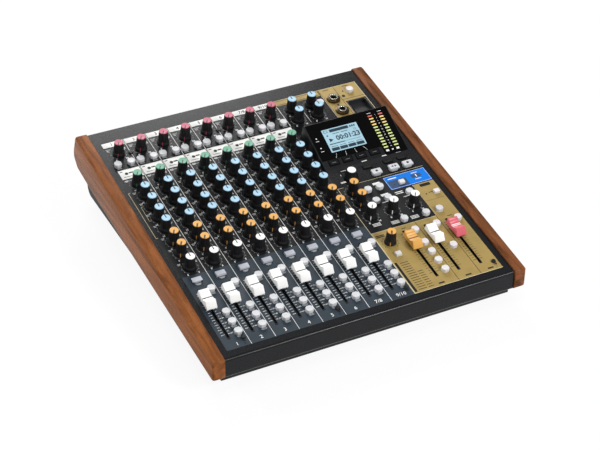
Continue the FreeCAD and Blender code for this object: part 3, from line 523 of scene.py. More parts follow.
class Finishes:
    """Every finish of the mixer."""

    # Sprayed and baked satin paint: a fine orange peel that spreads the highlight of a bend
    panel = Finish("satin_painted_steel", "#141517", 0.27, ior=1.28, grain=0.5, relief=0.01,
                   spread=0.05)
    case = Finish("matt_painted_steel", "#17181a", 0.55, ior=1.35, grain=0.5, relief=0.02)
    # Oiled hardwood: warm bands along the cheek with short dark pores
    wood = OiledWood("oiled_hardwood", "#8f5833", 0.3, ior=1.1, grain=0.35, relief=0.03,
                     deep="#6a3e22")
    # A darker copy of the same hardwood, for the right cheek: painted shade.
    wood_right_shaded = OiledWood("oiled_hardwood_right_shaded", "#7c4c2f", 0.3, ior=1.14, grain=0.35,
                          relief=0.03, deep="#53311a")
    rubber = Finish("moulded_rubber", "#141414", 0.85, grain=0.4, relief=0.03)
    # Screen print: a thin matt film that takes the steel's own texture
    navy = Finish("screen_print_blue_black", "#26313b", 0.5, ior=1.33, relief=0.008)
    black = Finish("screen_print_black", "#101113", 0.5, ior=1.3, relief=0.008)
    white = Finish("screen_print_white", "#e9e9e6", 0.55, tone=0.03, relief=0.006)
    grey = Finish("screen_print_grey", "#9a9c9e", 0.55, tone=0.03, relief=0.006)
    scale = Finish("screen_print_scale_grey", "#85878a", 0.55, tone=0.03, relief=0.006)
    blue = Finish("screen_print_blue", "#0a70d0", 0.5, ior=1.2, tone=0.04, relief=0.006)
    deep_blue = Finish("screen_print_deep_blue", "#14385f", 0.5, tone=0.04, relief=0.006)
    # Metallic ink: flakes that give a soft gold sheen and a fine sparkle
    gold = Finish("metallic_gold_ink", "#9e864a", 0.46, metallic=0.2, grain=0.25, tone=0.06,
                  spread=0.14, relief=0.008)
    cream = Finish("screen_print_cream", "#cabf98", 0.55, tone=0.03, relief=0.006)
    # Moulded ABS: a slight texture from the mould and a broad sheen
    knob = Finish("moulded_black_abs", "#1a1a1c", 0.36, ior=1.32, grain=0.3, relief=0.012)
    pointer = Finish("filled_pointer_grey", "#242426", 0.5, relief=0.006)
    pointer_brown = Finish("filled_pointer_brown", "#4a2c12", 0.5, relief=0.006)
    mark_red = Finish("filled_mark_red", "#8d2b40", 0.5, relief=0.006)
    mark_green = Finish("filled_mark_green", "#2b5c48", 0.5, relief=0.006)
    mark_blue = Finish("filled_mark_blue", "#2d4f60", 0.5, relief=0.006)
    mark_orange = Finish("filled_mark_orange", "#bd8238", 0.5, relief=0.006)
    key = Finish("moulded_grey_silicone", "#c9cacd", 0.42, grain=0.35, tone=0.04)
    key_pale = Finish("moulded_pale_silicone", "#d3d0d0", 0.42, grain=0.35, tone=0.04)
    key_mute = Finish("moulded_violet_grey_silicone", "#b4b6c0", 0.42, grain=0.35, tone=0.04)
    key_dark = Finish("moulded_dark_silicone", "#121314", 0.5, ior=1.2, grain=0.35, tone=0.04)
    transport = Finish("moulded_pale_grey_abs", "#c3c4c8", 0.4, grain=0.35, tone=0.04)
    cap_red = Finish("moulded_red_abs", "#b8566b", 0.4, grain=0.3, tone=0.04)
    cap_green = Finish("moulded_green_abs", "#5f9f83", 0.4, grain=0.3, tone=0.04)
    cap_blue = Finish("moulded_light_blue_abs", "#9cc2d8", 0.4, grain=0.3, tone=0.04)
    cap_orange = Finish("moulded_orange_abs", "#d9a14d", 0.4, grain=0.3, tone=0.04)
    cap_white = Finish("moulded_white_abs", "#f2f2f0", 0.4, grain=0.3, tone=0.02)
    cap_coral = Finish("moulded_coral_abs", "#d05d69", 0.4, grain=0.3, tone=0.04)
    bezel = Finish("textured_black_abs", "#17181a", 0.42, ior=1.28, grain=0.3, relief=0.02)
    window = Finish("polished_acrylic", "#050506", 0.05, ior=1.2, tone=0.05, spread=0.02,
                    relief=0.0005)
    lcd = LitLens("backlit_display", "#9cbecc", 0.3, ior=1.3, tone=0.05, glow=0.1)
    lcd_mark = Finish("liquid_crystal_dark", "#1d3542", 0.35, tone=0.04, relief=0.002)
    lamp_red = LitLens("lamp_red", "#c05f55", 0.3, tone=0.04, glow=0.12)
    lamp_amber = LitLens("lamp_amber", "#dfc47c", 0.3, tone=0.04, glow=0.15)
    lamp_green = LitLens("lamp_yellow_green", "#c3cf86", 0.3, tone=0.04, glow=0.15)
    lamp_off = Finish("unlit_lens", "#30231f", 0.25, grain=0.4)
    # Plated parts: bright and smooth, with faint turning marks
    chrome = BrushedMetal("bright_nickel_plate", "#bdbab0", 0.22, metallic=1.0, grain=0.12,
                          tone=0.05, spread=0.05, relief=0.003)
    zinc = BrushedMetal("blackened_steel", "#3c3d40", 0.38, metallic=1.0, grain=0.15, tone=0.1,
                        relief=0.006)
    bronze = BrushedMetal("bronzed_steel", "#54452f", 0.34, metallic=1.0, grain=0.15, tone=0.1,
                          relief=0.006)
    contact = BrushedMetal("plated_contact", "#cfae62", 0.25, metallic=1.0, grain=0.12,
                           relief=0.003)
    board = Finish("glass_epoxy_board", "#1f4a33", 0.4, grain=0.8, tone=0.12)
    steel = BrushedMetal("drawn_steel", "#8d8f92", 0.35, metallic=1.0, grain=0.2, tone=0.08)
    floor_plate = Finish("moulded_grey_nylon", "#232426", 0.5, grain=0.3, relief=0.012)
    socket = Finish("moulded_socket_nylon", "#1a1b1d", 0.45, grain=0.3, relief=0.012)


# Meshes

def new_mesh(bm: bmesh.types.BMesh, crease: float = 32.0) -> Mesh:
    """Turns a working mesh to a shaded one.

    Args:
        bm: The working mesh, which is freed.
        crease: The angle past which an edge stays sharp, in degrees.

    Returns:
        The mesh.
    """
    bmesh.ops.recalc_face_normals(bm, faces=bm.faces)
    mesh = bpy.data.meshes.new("shape")
    bm.to_mesh(mesh)
    bm.free()
    mesh.shade_smooth()
    mesh.set_sharp_from_angle(angle=math.radians(crease))
    return mesh


def rounded(points: Outline, radii: Sequence[float], steps: int = 4) -> Outline:
    """Rounds the corners of a closed outline.

    Args:
        points: The corners in order.
        radii: One radius for each corner.
        steps: How many pieces each rounded corner has.

    Returns:
        The new outline.
    """
    result: Outline = []
    for n, radius in enumerate(radii):
        corner = Vector(points[n])
        to_last = (Vector(points[n - 1]) - corner).normalized()
        to_next = (Vector(points[(n + 1) % len(points)]) - corner).normalized()
        half = to_last.angle(to_next) / 2.0
        if radius <= 0.0 or half > 1.57:
            result.append((corner.x, corner.y))
            continue
        run = radius / math.tan(half)
        middle = corner + (to_last + to_next).normalized() * radius / math.sin(half)
        start = corner + to_last * run - middle
        sweep = start.angle_signed(corner + to_next * run - middle)
        for step in range(steps + 1):
            arm = Matrix.Rotation(-sweep * step / steps, 2) @ start
            result.append((middle.x + arm.x, middle.y + arm.y))
    return result


def rectangle(width: float, depth: float, corner: float = 0.0, steps: int = 4) -> Outline:
    """Gives a rectangle round the origin, with rounded corners."""
    a, b = width / 2.0, depth / 2.0
    return rounded([(-a, -b), (a, -b), (a, b), (-a, b)], [corner] * 4, steps)


def polygon(radius: float, sides: int) -> Outline:
    """Gives a regular polygon round the origin, with a flat side to the front.

    Args:
        radius: From the middle to a corner.
        sides: How many sides it has.

    Returns:
        The outline.
    """
    first = -math.pi / 2.0 - math.pi / sides
    turns = [first + 2.0 * math.pi * n / sides for n in range(sides)]
    return [(radius * math.cos(turn), radius * math.sin(turn)) for turn in turns]


def loft(rings: Sequence[tuple[Outline, float]], crease: float = 32.0) -> Mesh:
    """Makes a closed solid through outlines of as many points, from the lowest up.

    Args:
        rings: Each outline and its height.
        crease: The angle past which an edge stays sharp, in degrees.

    Returns:
        The mesh.
    """
    bm = bmesh.new()
    levels = [[bm.verts.new((x, y, z)) for x, y in ring] for ring, z in rings]
    count = len(levels[0])
    for low, high in zip(levels, levels[1:]):
        for n in range(count):
            bm.faces.new((low[n - 1], low[n], high[n], high[n - 1]))
    bm.faces.new(levels[0])
    bm.faces.new(levels[-1])
    return new_mesh(bm, crease)


def scaled(outline: Outline, inset: float) -> Outline:
    """Draws an outline in by about that much on every side.

    Args:
        outline: The outline, round the origin.
        inset: How far it is drawn in.

    Returns:
        The smaller outline.
    """
    wide = max(abs(x) for x, _ in outline)
    deep = max(abs(y) for _, y in outline)
    return [(x * (wide - inset) / wide, y * (deep - inset) / deep) for x, y in outline]


def soft_block(outline: Outline, low: float, high: float, edge: float, steps: int = 3) -> Mesh:
    """Makes an upright block whose upper rim is rounded.

    Args:
        outline: The block's outline round the origin.
        low: Its lower height.
        high: Its upper height.
        edge: The radius of its upper rim.
        steps: How many pieces the rounding has.

    Returns:
        The mesh.
    """
    rings = [(outline, low)]
    for step in range(steps + 1):
        turn = math.pi / 2.0 * step / steps
        inset, rise = edge * (1.0 - math.cos(turn)), edge * math.sin(turn)
        rings.append((scaled(outline, inset), high - edge + rise))
    return loft(rings)


def lathe(profile: Sequence[Pair], sides: int = 32, crease: float = 32.0,
          loop: bool = False) -> Mesh:
    """Turns a profile of (radius, height) points round the vertical into a closed solid.

    Args:
        profile: The points in order. Where the first or last isn't on the axis, a face closes it.
        sides: How many sides the solid has.
        crease: The angle past which an edge stays sharp, in degrees.
        loop: Whether the last point joins the first, as in a ring.

    Returns:
        The mesh.
    """
    bm = bmesh.new()
    turns = [2.0 * math.pi * n / sides for n in range(sides)]
    rings = []
    for radius, height in profile:
        if radius < 1e-6:
            rings.append([bm.verts.new((0.0, 0.0, height))] * sides)
        else:
            rings.append([bm.verts.new((radius * math.cos(turn), radius * math.sin(turn), height))
                          for turn in turns])
    ends = () if loop else (rings[0], rings[-1])
    if loop:
        rings.append(rings[0])
    for low, high in zip(rings, rings[1:]):
        for n in range(sides):
            corners = list(dict.fromkeys((low[n - 1], low[n], high[n], high[n - 1])))
            if len(corners) > 2:
                bm.faces.new(corners)
    for ring in ends:
        if len(set(ring)) > 1:
            bm.faces.new(ring)
    return new_mesh(bm, crease)


def prism(outline: Outline, low: float, high: float) -> Mesh:
    """Makes a straight closed solid from an outline."""
    return loft([(outline, low), (outline, high)])


def cut_plate(outline: Outline, holes: Sequence[Outline], low: float, high: float) -> Mesh:
    """Makes a flat plate with straight-sided holes.

    Args:
        outline: The plate's outline.
        holes: The outline of each hole, all of them inside the plate.
        low: The plate's lower height.
        high: Its upper height.

    Returns:
        The mesh.
    """
    rings = [outline, *holes]
    corners = tessellate_polygon([[Vector((x, y, 0.0)) for x, y in ring] for ring in rings])
    bm = bmesh.new()
    below, above = ([bm.verts.new((x, y, z)) for ring in rings for x, y in ring]
                    for z in (low, high))
    for triangle in corners:
        for level in (below, above):
            bm.faces.new([level[n] for n in triangle])
    first = 0
    for ring in rings:
        for n in range(first, first + len(ring)):
            last = n - 1 if n > first else first + len(ring) - 1
            bm.faces.new((below[last], below[n], above[n], above[last]))
        first += len(ring)
    return new_mesh(bm)


def across(outline: Outline, start: float, end: float, edges: Pair = (0.0, 0.0)) -> Mesh:
    """Makes a solid with a side outline of (y, w) points that runs along x.

    Args:
        outline: The points of the side outline.
        start: The x of the left end.
        end: The x of the right end.
        edges: How wide the rounding round the left end is, and round the right end.

    Returns:
        The mesh.
    """
    bm = bmesh.new()
    ends = [[bm.verts.new((x, y, w)) for y, w in outline] for x in (start, end)]
    for n in range(len(outline)):
        bm.faces.new((ends[0][n - 1], ends[0][n], ends[1][n], ends[1][n - 1]))
    caps = [bm.faces.new(ring) for ring in ends]
    bmesh.ops.recalc_face_normals(bm, faces=bm.faces)
    for cap, edge in zip(caps, edges):
        if edge > 0.0:
            bmesh.ops.bevel(bm, geom=list(cap.edges), offset=edge, segments=3, profile=0.5,
                            affect="EDGES", clamp_overlap=True)
    return new_mesh(bm)


def moved(mesh: Mesh, spot: Spot) -> Mesh:
    """Moves a mesh to a spot and gives it back.

    Args:
        mesh: The mesh, which is changed.
        spot: Where it goes.

    Returns:
        The same mesh.
    """
    turn = Matrix.Rotation(math.radians(spot.turn), 4, "Z")
    mesh.transform(Matrix.Translation((spot.x, spot.y, spot.w)) @ turn)
    return mesh


def lettering(words: str, height: float, thickness: float, bold: float = 0.0) -> Mesh:
    """Makes plain numbers as a thin closed mesh.

    Args:
        words: The numbers.
        height: How tall a number is.
        thickness: How thick the print is.
        bold: How far each stroke grows on either side.

    Returns:
        The mesh, centred, with its foot on zero.
    """
    digit_share = 0.7
    curve = bpy.data.curves.new("numbers", "FONT")
    curve.body = words
    curve.size = height / digit_share
    curve.align_x = "CENTER"
    curve.align_y = "CENTER"
    curve.resolution_u = 2
    curve.offset = bold
    curve.extrude = thickness / 2.0
    holder = stand("numbers", curve)
    graph = bpy.context.evaluated_depsgraph_get()
    mesh = bpy.data.meshes.new_from_object(holder.evaluated_get(graph))
    bpy.data.objects.remove(holder)
    bpy.data.curves.remove(curve)
    bm = bmesh.new()
    bm.from_mesh(mesh)
    bpy.data.meshes.remove(mesh)
    bmesh.ops.remove_doubles(bm, verts=bm.verts, dist=1e-4)
    bmesh.ops.translate(bm, verts=bm.verts, vec=(0.0, 0.0, thickness / 2.0))
    return new_mesh(bm)


# Node trees

class RuleTree:
    """A geometry node tree that is built here, baked to a plain mesh and taken off again."""

    name = "rule"

    def __init__(self) -> None:
        """Builds the tree with its named inputs."""
        self.tree = bpy.data.node_groups.new(self.name, "GeometryNodeTree")
        self.keys: dict[str, str] = {}
        face = self.tree.interface
        face.new_socket("Geometry", in_out="INPUT", socket_type="NodeSocketGeometry")
        face.new_socket("Geometry", in_out="OUTPUT", socket_type="NodeSocketGeometry")
        for label, kind in self.inputs().items():
            socket = face.new_socket(label, in_out="INPUT", socket_type=f"NodeSocket{kind}")
            self.keys[label] = socket.identifier
        self.given = add_node(self.tree, "NodeGroupInput").outputs
        shape = self.build()
        real = self.add("GeometryNodeRealizeInstances", {0: shape})
        dressed = self.add("GeometryNodeSetMaterial",
                           {0: real.outputs[0], "Material": self.given["Material"]})
        self.add("NodeGroupOutput", {0: dressed.outputs[0]})

    def inputs(self) -> dict[str, str]:
        """Gives each input's name and kind."""
        return {"Material": "Material"}

    def build(self) -> Socket:
        """Adds the nodes that make the shape, and gives its socket."""
        raise NotImplementedError

    def add(self, kind: str, links: Optional[dict] = None, **settings: object) -> Node:
        """Adds a node to this tree."""
        return add_node(self.tree, kind, links, **settings)

    def bake(self, finish: Finish, points: Sequence[Spot] = (), **values: object) -> Mesh:
        """Runs the tree and gives its result as a plain mesh.

        Args:
            finish: The finish that the result takes.
            points: The points that the tree starts from.
            values: The tree's other inputs, with underscores for spaces.

        Returns:
            The mesh, with its material in its first slot.
        """
        cloud = bpy.data.meshes.new("points")
        cloud.from_pydata([(spot.x, spot.y, spot.w) for spot in points], [], [])
        turns = cloud.attributes.new("turn", "FLOAT", "POINT")
        turns.data.foreach_set("value", [math.radians(spot.turn) for spot in points])
        holder = stand("holder", cloud)
        modifier = holder.modifiers.new("rule", "NODES")
        modifier.node_group = self.tree
        modifier[self.keys["Material"]] = finish.material()
        for label, value in values.items():
            modifier[self.keys[label.replace("_", " ")]] = value
        graph = bpy.context.evaluated_depsgraph_get()
        mesh = bpy.data.meshes.new_from_object(holder.evaluated_get(graph))
        holder.modifiers.remove(modifier)
        bpy.data.objects.remove(holder)
        bpy.data.meshes.remove(cloud)
        return mesh


class StampTree(RuleTree):
    """Stands copies of one shape on points, each turned by its own angle."""

    name = "stamp_on_points"

    def inputs(self) -> dict[str, str]:
        """Adds the shape to the usual inputs."""
        return {"Shape": "Object", **super().inputs()}

    def build(self) -> Socket:
        """Puts the shape on the points.

        Returns:
            The copies.
        """
        shape = self.add("GeometryNodeObjectInfo", {"Object": self.given["Shape"]})
        turn = self.add("GeometryNodeInputNamedAttribute", {"Name": "turn"}, data_type="FLOAT")
        about = self.add("ShaderNodeCombineXYZ", {"Z": turn.outputs["Attribute"]})
        copies = self.add("GeometryNodeInstanceOnPoints",
                          {"Points": self.given["Geometry"], "Instance": shape.outputs["Geometry"],
                           "Rotation": about.outputs[0]})
        return copies.outputs[0]

    def repeat(self, shape: Mesh, finish: Finish, spots: Sequence[Spot]) -> Mesh:
        """Gives one mesh with a copy of the shape on every spot.

        Args:
            shape: The shape, round the origin.
            finish: Its finish.
            spots: Where the copies stand.

        Returns:
            The mesh.
        """
        pattern = stand("pattern", shape)
        mesh = self.bake(finish, spots, Shape=pattern)
        bpy.data.objects.remove(pattern)
        return mesh


class DialTree(RuleTree):
    """Draws a knob's scale, centred on its own height: even ticks, and a thin arc inside them."""

    name = "knob_scale"

    def inputs(self) -> dict[str, str]:
        """Adds the scale's sizes to the usual inputs.

        Returns:
            Each input's name and kind.
        """
        return {"Start": "Float", "Step": "Float", "Ticks": "Int", "Tick Middle": "Float",
                "Tick Length": "Float", "Line": "Float", "Arc Radius": "Float",
                "Arc Sweep": "Float", "Arc Line": "Float", "Thickness": "Float",
                **super().inputs()}

    def build(self) -> Socket:
        """Turns one tick about the middle by even steps, and sweeps the arc.

        Returns:
            The scale.
        """
        given = self.given
        index = self.add("GeometryNodeInputIndex").outputs[0]
        turn = self.add("ShaderNodeMath", {0: index, 1: given["Step"], 2: given["Start"]},
                        operation="MULTIPLY_ADD")
        about = self.add("ShaderNodeCombineXYZ", {"Z": turn.outputs[0]})
        points = self.add("GeometryNodePoints", {"Count": given["Ticks"]})
        size = self.add("ShaderNodeCombineXYZ",
                        {"X": given["Tick Length"], "Y": given["Line"], "Z": given["Thickness"]})
        tick = self.add("GeometryNodeMeshCube", {"Size": size.outputs[0]})
        reach = self.add("ShaderNodeCombineXYZ", {"X": given["Tick Middle"]})
        outer = self.add("GeometryNodeTransform",
                         {"Geometry": tick.outputs[0], "Translation": reach.outputs[0]})
        ticks = self.add("GeometryNodeInstanceOnPoints",
                         {"Points": points.outputs[0], "Instance": outer.outputs[0],
                          "Rotation": about.outputs[0]})
        arc = self.add("GeometryNodeCurveArc",
                       {"Resolution": 24, "Radius": given["Arc Radius"],
                        "Start Angle": given["Start"], "Sweep Angle": given["Arc Sweep"]})
        band = self.add("GeometryNodeCurvePrimitiveQuadrilateral",
                        {"Width": given["Arc Line"], "Height": given["Thickness"]})
        ring = self.add("GeometryNodeCurveToMesh",
                        {0: arc.outputs[0], 1: band.outputs[0], "Fill Caps": True})
        both = self.add("GeometryNodeJoinGeometry")
        for shape in (ticks, ring):
            self.tree.links.new(shape.outputs[0], both.inputs[0])
        return both.outputs[0]


class FluteTree(RuleTree):
    """Makes a knob's tapered grip, centred on its own height, with even flutes round it."""

    name = "fluted_grip"

    def inputs(self) -> dict[str, str]:
        """Adds the grip's sizes to the usual inputs. Its radii are those halfway into a flute."""
        return {"Flutes": "Int", "Sides": "Int", "Foot Radius": "Float", "Top Radius": "Float",
                "Height": "Float", "Depth": "Float", **super().inputs()}

    def build(self) -> Socket:
        """Draws a cylinder's side in by the taper and by a wave for each flute.

        Returns:
            The grip.
        """
        given = self.given
        body = self.add("GeometryNodeMeshCylinder",
                        {"Vertices": given["Sides"], "Side Segments": 2, "Radius": 1.0,
                         "Depth": 1.0})
        place = self.add("GeometryNodeInputPosition").outputs[0]
        part = self.add("ShaderNodeSeparateXYZ", {0: place}).outputs
        taper = self.add("ShaderNodeMapRange",
                         {"Value": part[2], "From Min": -0.5, "From Max": 0.5,
                          "To Min": given["Foot Radius"], "To Max": given["Top Radius"]})
        turn = self.add("ShaderNodeMath", {0: part[1], 1: part[0]}, operation="ARCTAN2")
        phase = self.add("ShaderNodeMath", {0: turn.outputs[0], 1: given["Flutes"]},
                         operation="MULTIPLY")
        wave = self.add("ShaderNodeMath", {0: phase.outputs[0]}, operation="COSINE")
        radius = self.add("ShaderNodeMath",
                          {0: wave.outputs[0], 1: given["Depth"], 2: taper.outputs[0]},
                          operation="MULTIPLY_ADD").outputs[0]
        size = self.add("ShaderNodeCombineXYZ", {"X": radius, "Y": radius, "Z": given["Height"]})
        spot = self.add("ShaderNodeVectorMath", {0: place, 1: size.outputs[0]},
                        operation="MULTIPLY")
        shaped = self.add("GeometryNodeSetPosition",
                          {"Geometry": body.outputs[0], "Position": spot.outputs[0]})
        return shaped.outputs[0]


class Rules:
    """The node trees, each built once."""

    def __init__(self) -> None:
        """Builds every tree."""
        self.stamp = StampTree()
        self.dial = DialTree()
        self.flute = FluteTree()


# Pieces

@dataclass
class Piece:
    """One finished object, joined from dressed meshes.

    Attributes:
        name: The object's name.
        slot: The record's material slot. It is not used.
        body: The body that it rides on.
        replaces: The nodes that it stands for.
    """

    name: str
    slot: str
    body: str = STATIC_BODY
    replaces: tuple[str, ...] = ()
    parts: list[tuple[Mesh, Finish]] = field(default_factory=list)

    def add(self, mesh: Mesh, finish: Finish) -> None:
        """Adds a dressed mesh."""
        self.parts.append((mesh, finish))

    def finish(self, face: WorkFrame) -> bpy.types.Object:
        """Joins the meshes, takes them to the shared frame and fastens them to the body.

        Args:
            face: The face that the meshes are built on.

        Returns:
            The finished object, at the origin.
        """
        bm = bmesh.new()
        finishes: list[Finish] = []
        for mesh, finish in self.parts:
            if finish not in finishes:
                finishes.append(finish)
            start = len(bm.faces)
            bm.from_mesh(mesh)
            bm.faces.ensure_lookup_table()
            for face_index in range(start, len(bm.faces)):
                bm.faces[face_index].material_index = finishes.index(finish)
            bpy.data.meshes.remove(mesh)
        mesh = bpy.data.meshes.new(self.name)
        bm.to_mesh(mesh)
        bm.free()
        for finish in finishes:
            mesh.materials.append(finish.material())
        mesh.transform(face.matrix)
        piece = stand(self.name, mesh)
        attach(piece, self.body)
        if self.replaces:
            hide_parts(*self.replaces)
        triangles = sum(len(polygon.vertices) - 2 for polygon in mesh.polygons)
        LOG.info("%s: %d triangles on %s", self.name, triangles, self.body)
        return piece


@dataclass
class Assembly:
    """What every sub-assembly needs: the layout and the node trees."""

    layout: Layout
    rules: Rules

    @property
    def face(self) -> WorkFrame:
        """Gives the sloping panel."""
        return self.layout.face

    def stamp(self, piece: Piece, shape: Mesh, finish: Finish, spots: Sequence[Spot]) -> None:
        """Adds a copy of a shape to a piece on every spot, all in one finish."""
        piece.add(self.rules.stamp.repeat(shape, finish, spots), finish)


# Print

@dataclass
class PrintSheet:
    """One ink on a face: thin closed plates, lines and numbers.

    Attributes:
        piece: The piece that the print becomes.
        rules: The node trees.
        ink: The ink.
        foot: How far above the face the print starts.
        thickness: How thick it is drawn. A real film is too thin to show.
    """

    piece: Piece
    rules: Rules
    ink: Finish
    foot: float = 0.0
    thickness: float = FIELD_THICKNESS

    def plate(self, outline: Outline, holes: Sequence[Outline] = ()) -> None:
        """Prints a filled outline, and leaves the holes in it free."""
        self.piece.add(cut_plate(outline, holes, self.foot, self.foot + self.thickness), self.ink)

    def field(self, x0: float, x1: float, y0: float, y1: float, corner: float = 0.0,
              openings: Sequence[Outline] = ()) -> None:
        """Prints a filled rectangle.

        Args:
            x0: The left side.
            x1: The right side.
            y0: The front side.
            y1: The rear side.
            corner: The radius of its corners.
            openings: Outlines that stay free where they lie inside it.
        """
        middle = (x0 + x1) / 2.0, (y0 + y1) / 2.0
        outline = rectangle(x1 - x0, y1 - y0, corner)
        holes = [ring for ring in openings if all(x0 < x < x1 and y0 < y < y1 for x, y in ring)]
        self.plate([(middle[0] + x, middle[1] + y) for x, y in outline], holes)

    def frame(self, x0: float, x1: float, y0: float, y1: float, line: float) -> None:
        """Prints a rectangle's outline as four lines.

        Args:
            x0: The left side.
            x1: The right side.
            y0: The front side.
            y1: The rear side.
            line: How wide each line is, inwards.
        """
        self.field(x0, x1, y0, y0 + line)
        self.field(x0, x1, y1 - line, y1)
        self.field(x0, x0 + line, y0 + line, y1 - line)
        self.field(x1 - line, x1, y0 + line, y1 - line)

    def bars(self, width: float, depth: float, spots: Sequence[Spot]) -> None:
        """Prints the same bar at every spot."""
        shape = prism(rectangle(width, depth), self.foot, self.foot + self.thickness)
        self.stamp(shape, spots)

    def dots(self, radius: float, spots: Sequence[Spot]) -> None:
        """Prints the same dot at every spot."""
        shape = prism(polygon(radius, 16), self.foot, self.foot + self.thickness)
        self.stamp(shape, spots)

    def numbers(self, label: str, height: float, spots: Sequence[Spot], bold: float = 0.0) -> None:
        """Prints the same numbers at every spot.

        Args:
            label: The numbers.
            height: How tall they are.
            spots: Where they stand.
            bold: How far each stroke grows on either side.
        """
        shape = lettering(label, height, self.thickness, bold)
        moved(shape, Spot(0.0, 0.0, self.foot))
        self.stamp(shape, spots)

    def dials(self, spots: Sequence[Spot]) -> None:
        """Prints a knob's scale at every spot, with its gap to the front.

        Args:
            spots: The middles of the knobs.
        """
        radius, sweep = 8.2, math.radians(300.0)
        ticks, length, line = 11, 1.1, 0.45
        shape = self.rules.dial.bake(
            self.ink, Start=(math.pi - sweep) / 2.0, Step=sweep / (ticks - 1), Ticks=ticks,
            Tick_Middle=radius + length / 2.0, Tick_Length=length, Line=line, Arc_Radius=radius,
            Arc_Sweep=sweep, Arc_Line=0.35 * line, Thickness=self.thickness)
        self.stamp(moved(shape, Spot(0.0, 0.0, self.foot + self.thickness / 2.0)), spots)

    def ends(self, low: str, high: str, spots: Sequence[Spot]) -> None:
        """Prints the end numbers of the scale round every knob, in front of it.

        Args:
            low: The number at the left end.
            high: The number at the right end.
            spots: The middles of the knobs.
        """
        height, bold, aside, ahead = 2.0, 0.08, 5.9, 9.2
        for label, x in ((low, -aside), (high, aside)):
            places = [Spot(spot.x + x, spot.y - ahead) for spot in spots]
            self.numbers(label, height, places, bold)

    def ladders(self, reach: float, pitch: float, spots: Sequence[Spot]) -> None:
        """Prints a fader's scale at every spot: even rungs, with every second one shorter.

        Args:
            reach: How long a rung is. A negative one runs to the left.
            pitch: From one rung to the next.
            spots: The foot of each scale.
        """
        rungs, line, short = 18, 0.36, 0.65
        for first, share in ((0, 1.0), (1, short)):
            places = [Spot(spot.x + reach / 2.0, spot.y + n * pitch)
                      for spot in spots for n in range(first, rungs, 2)]
            self.bars(share * abs(reach), line, places)

    def stamp(self, shape: Mesh, spots: Sequence[Spot]) -> None:
        """Prints a shape at every spot."""
        self.piece.add(self.rules.stamp.repeat(shape, self.ink, spots), self.ink)

    def finish(self, face: WorkFrame) -> None:
        """Lays the print on its face."""
        self.piece.finish(face)


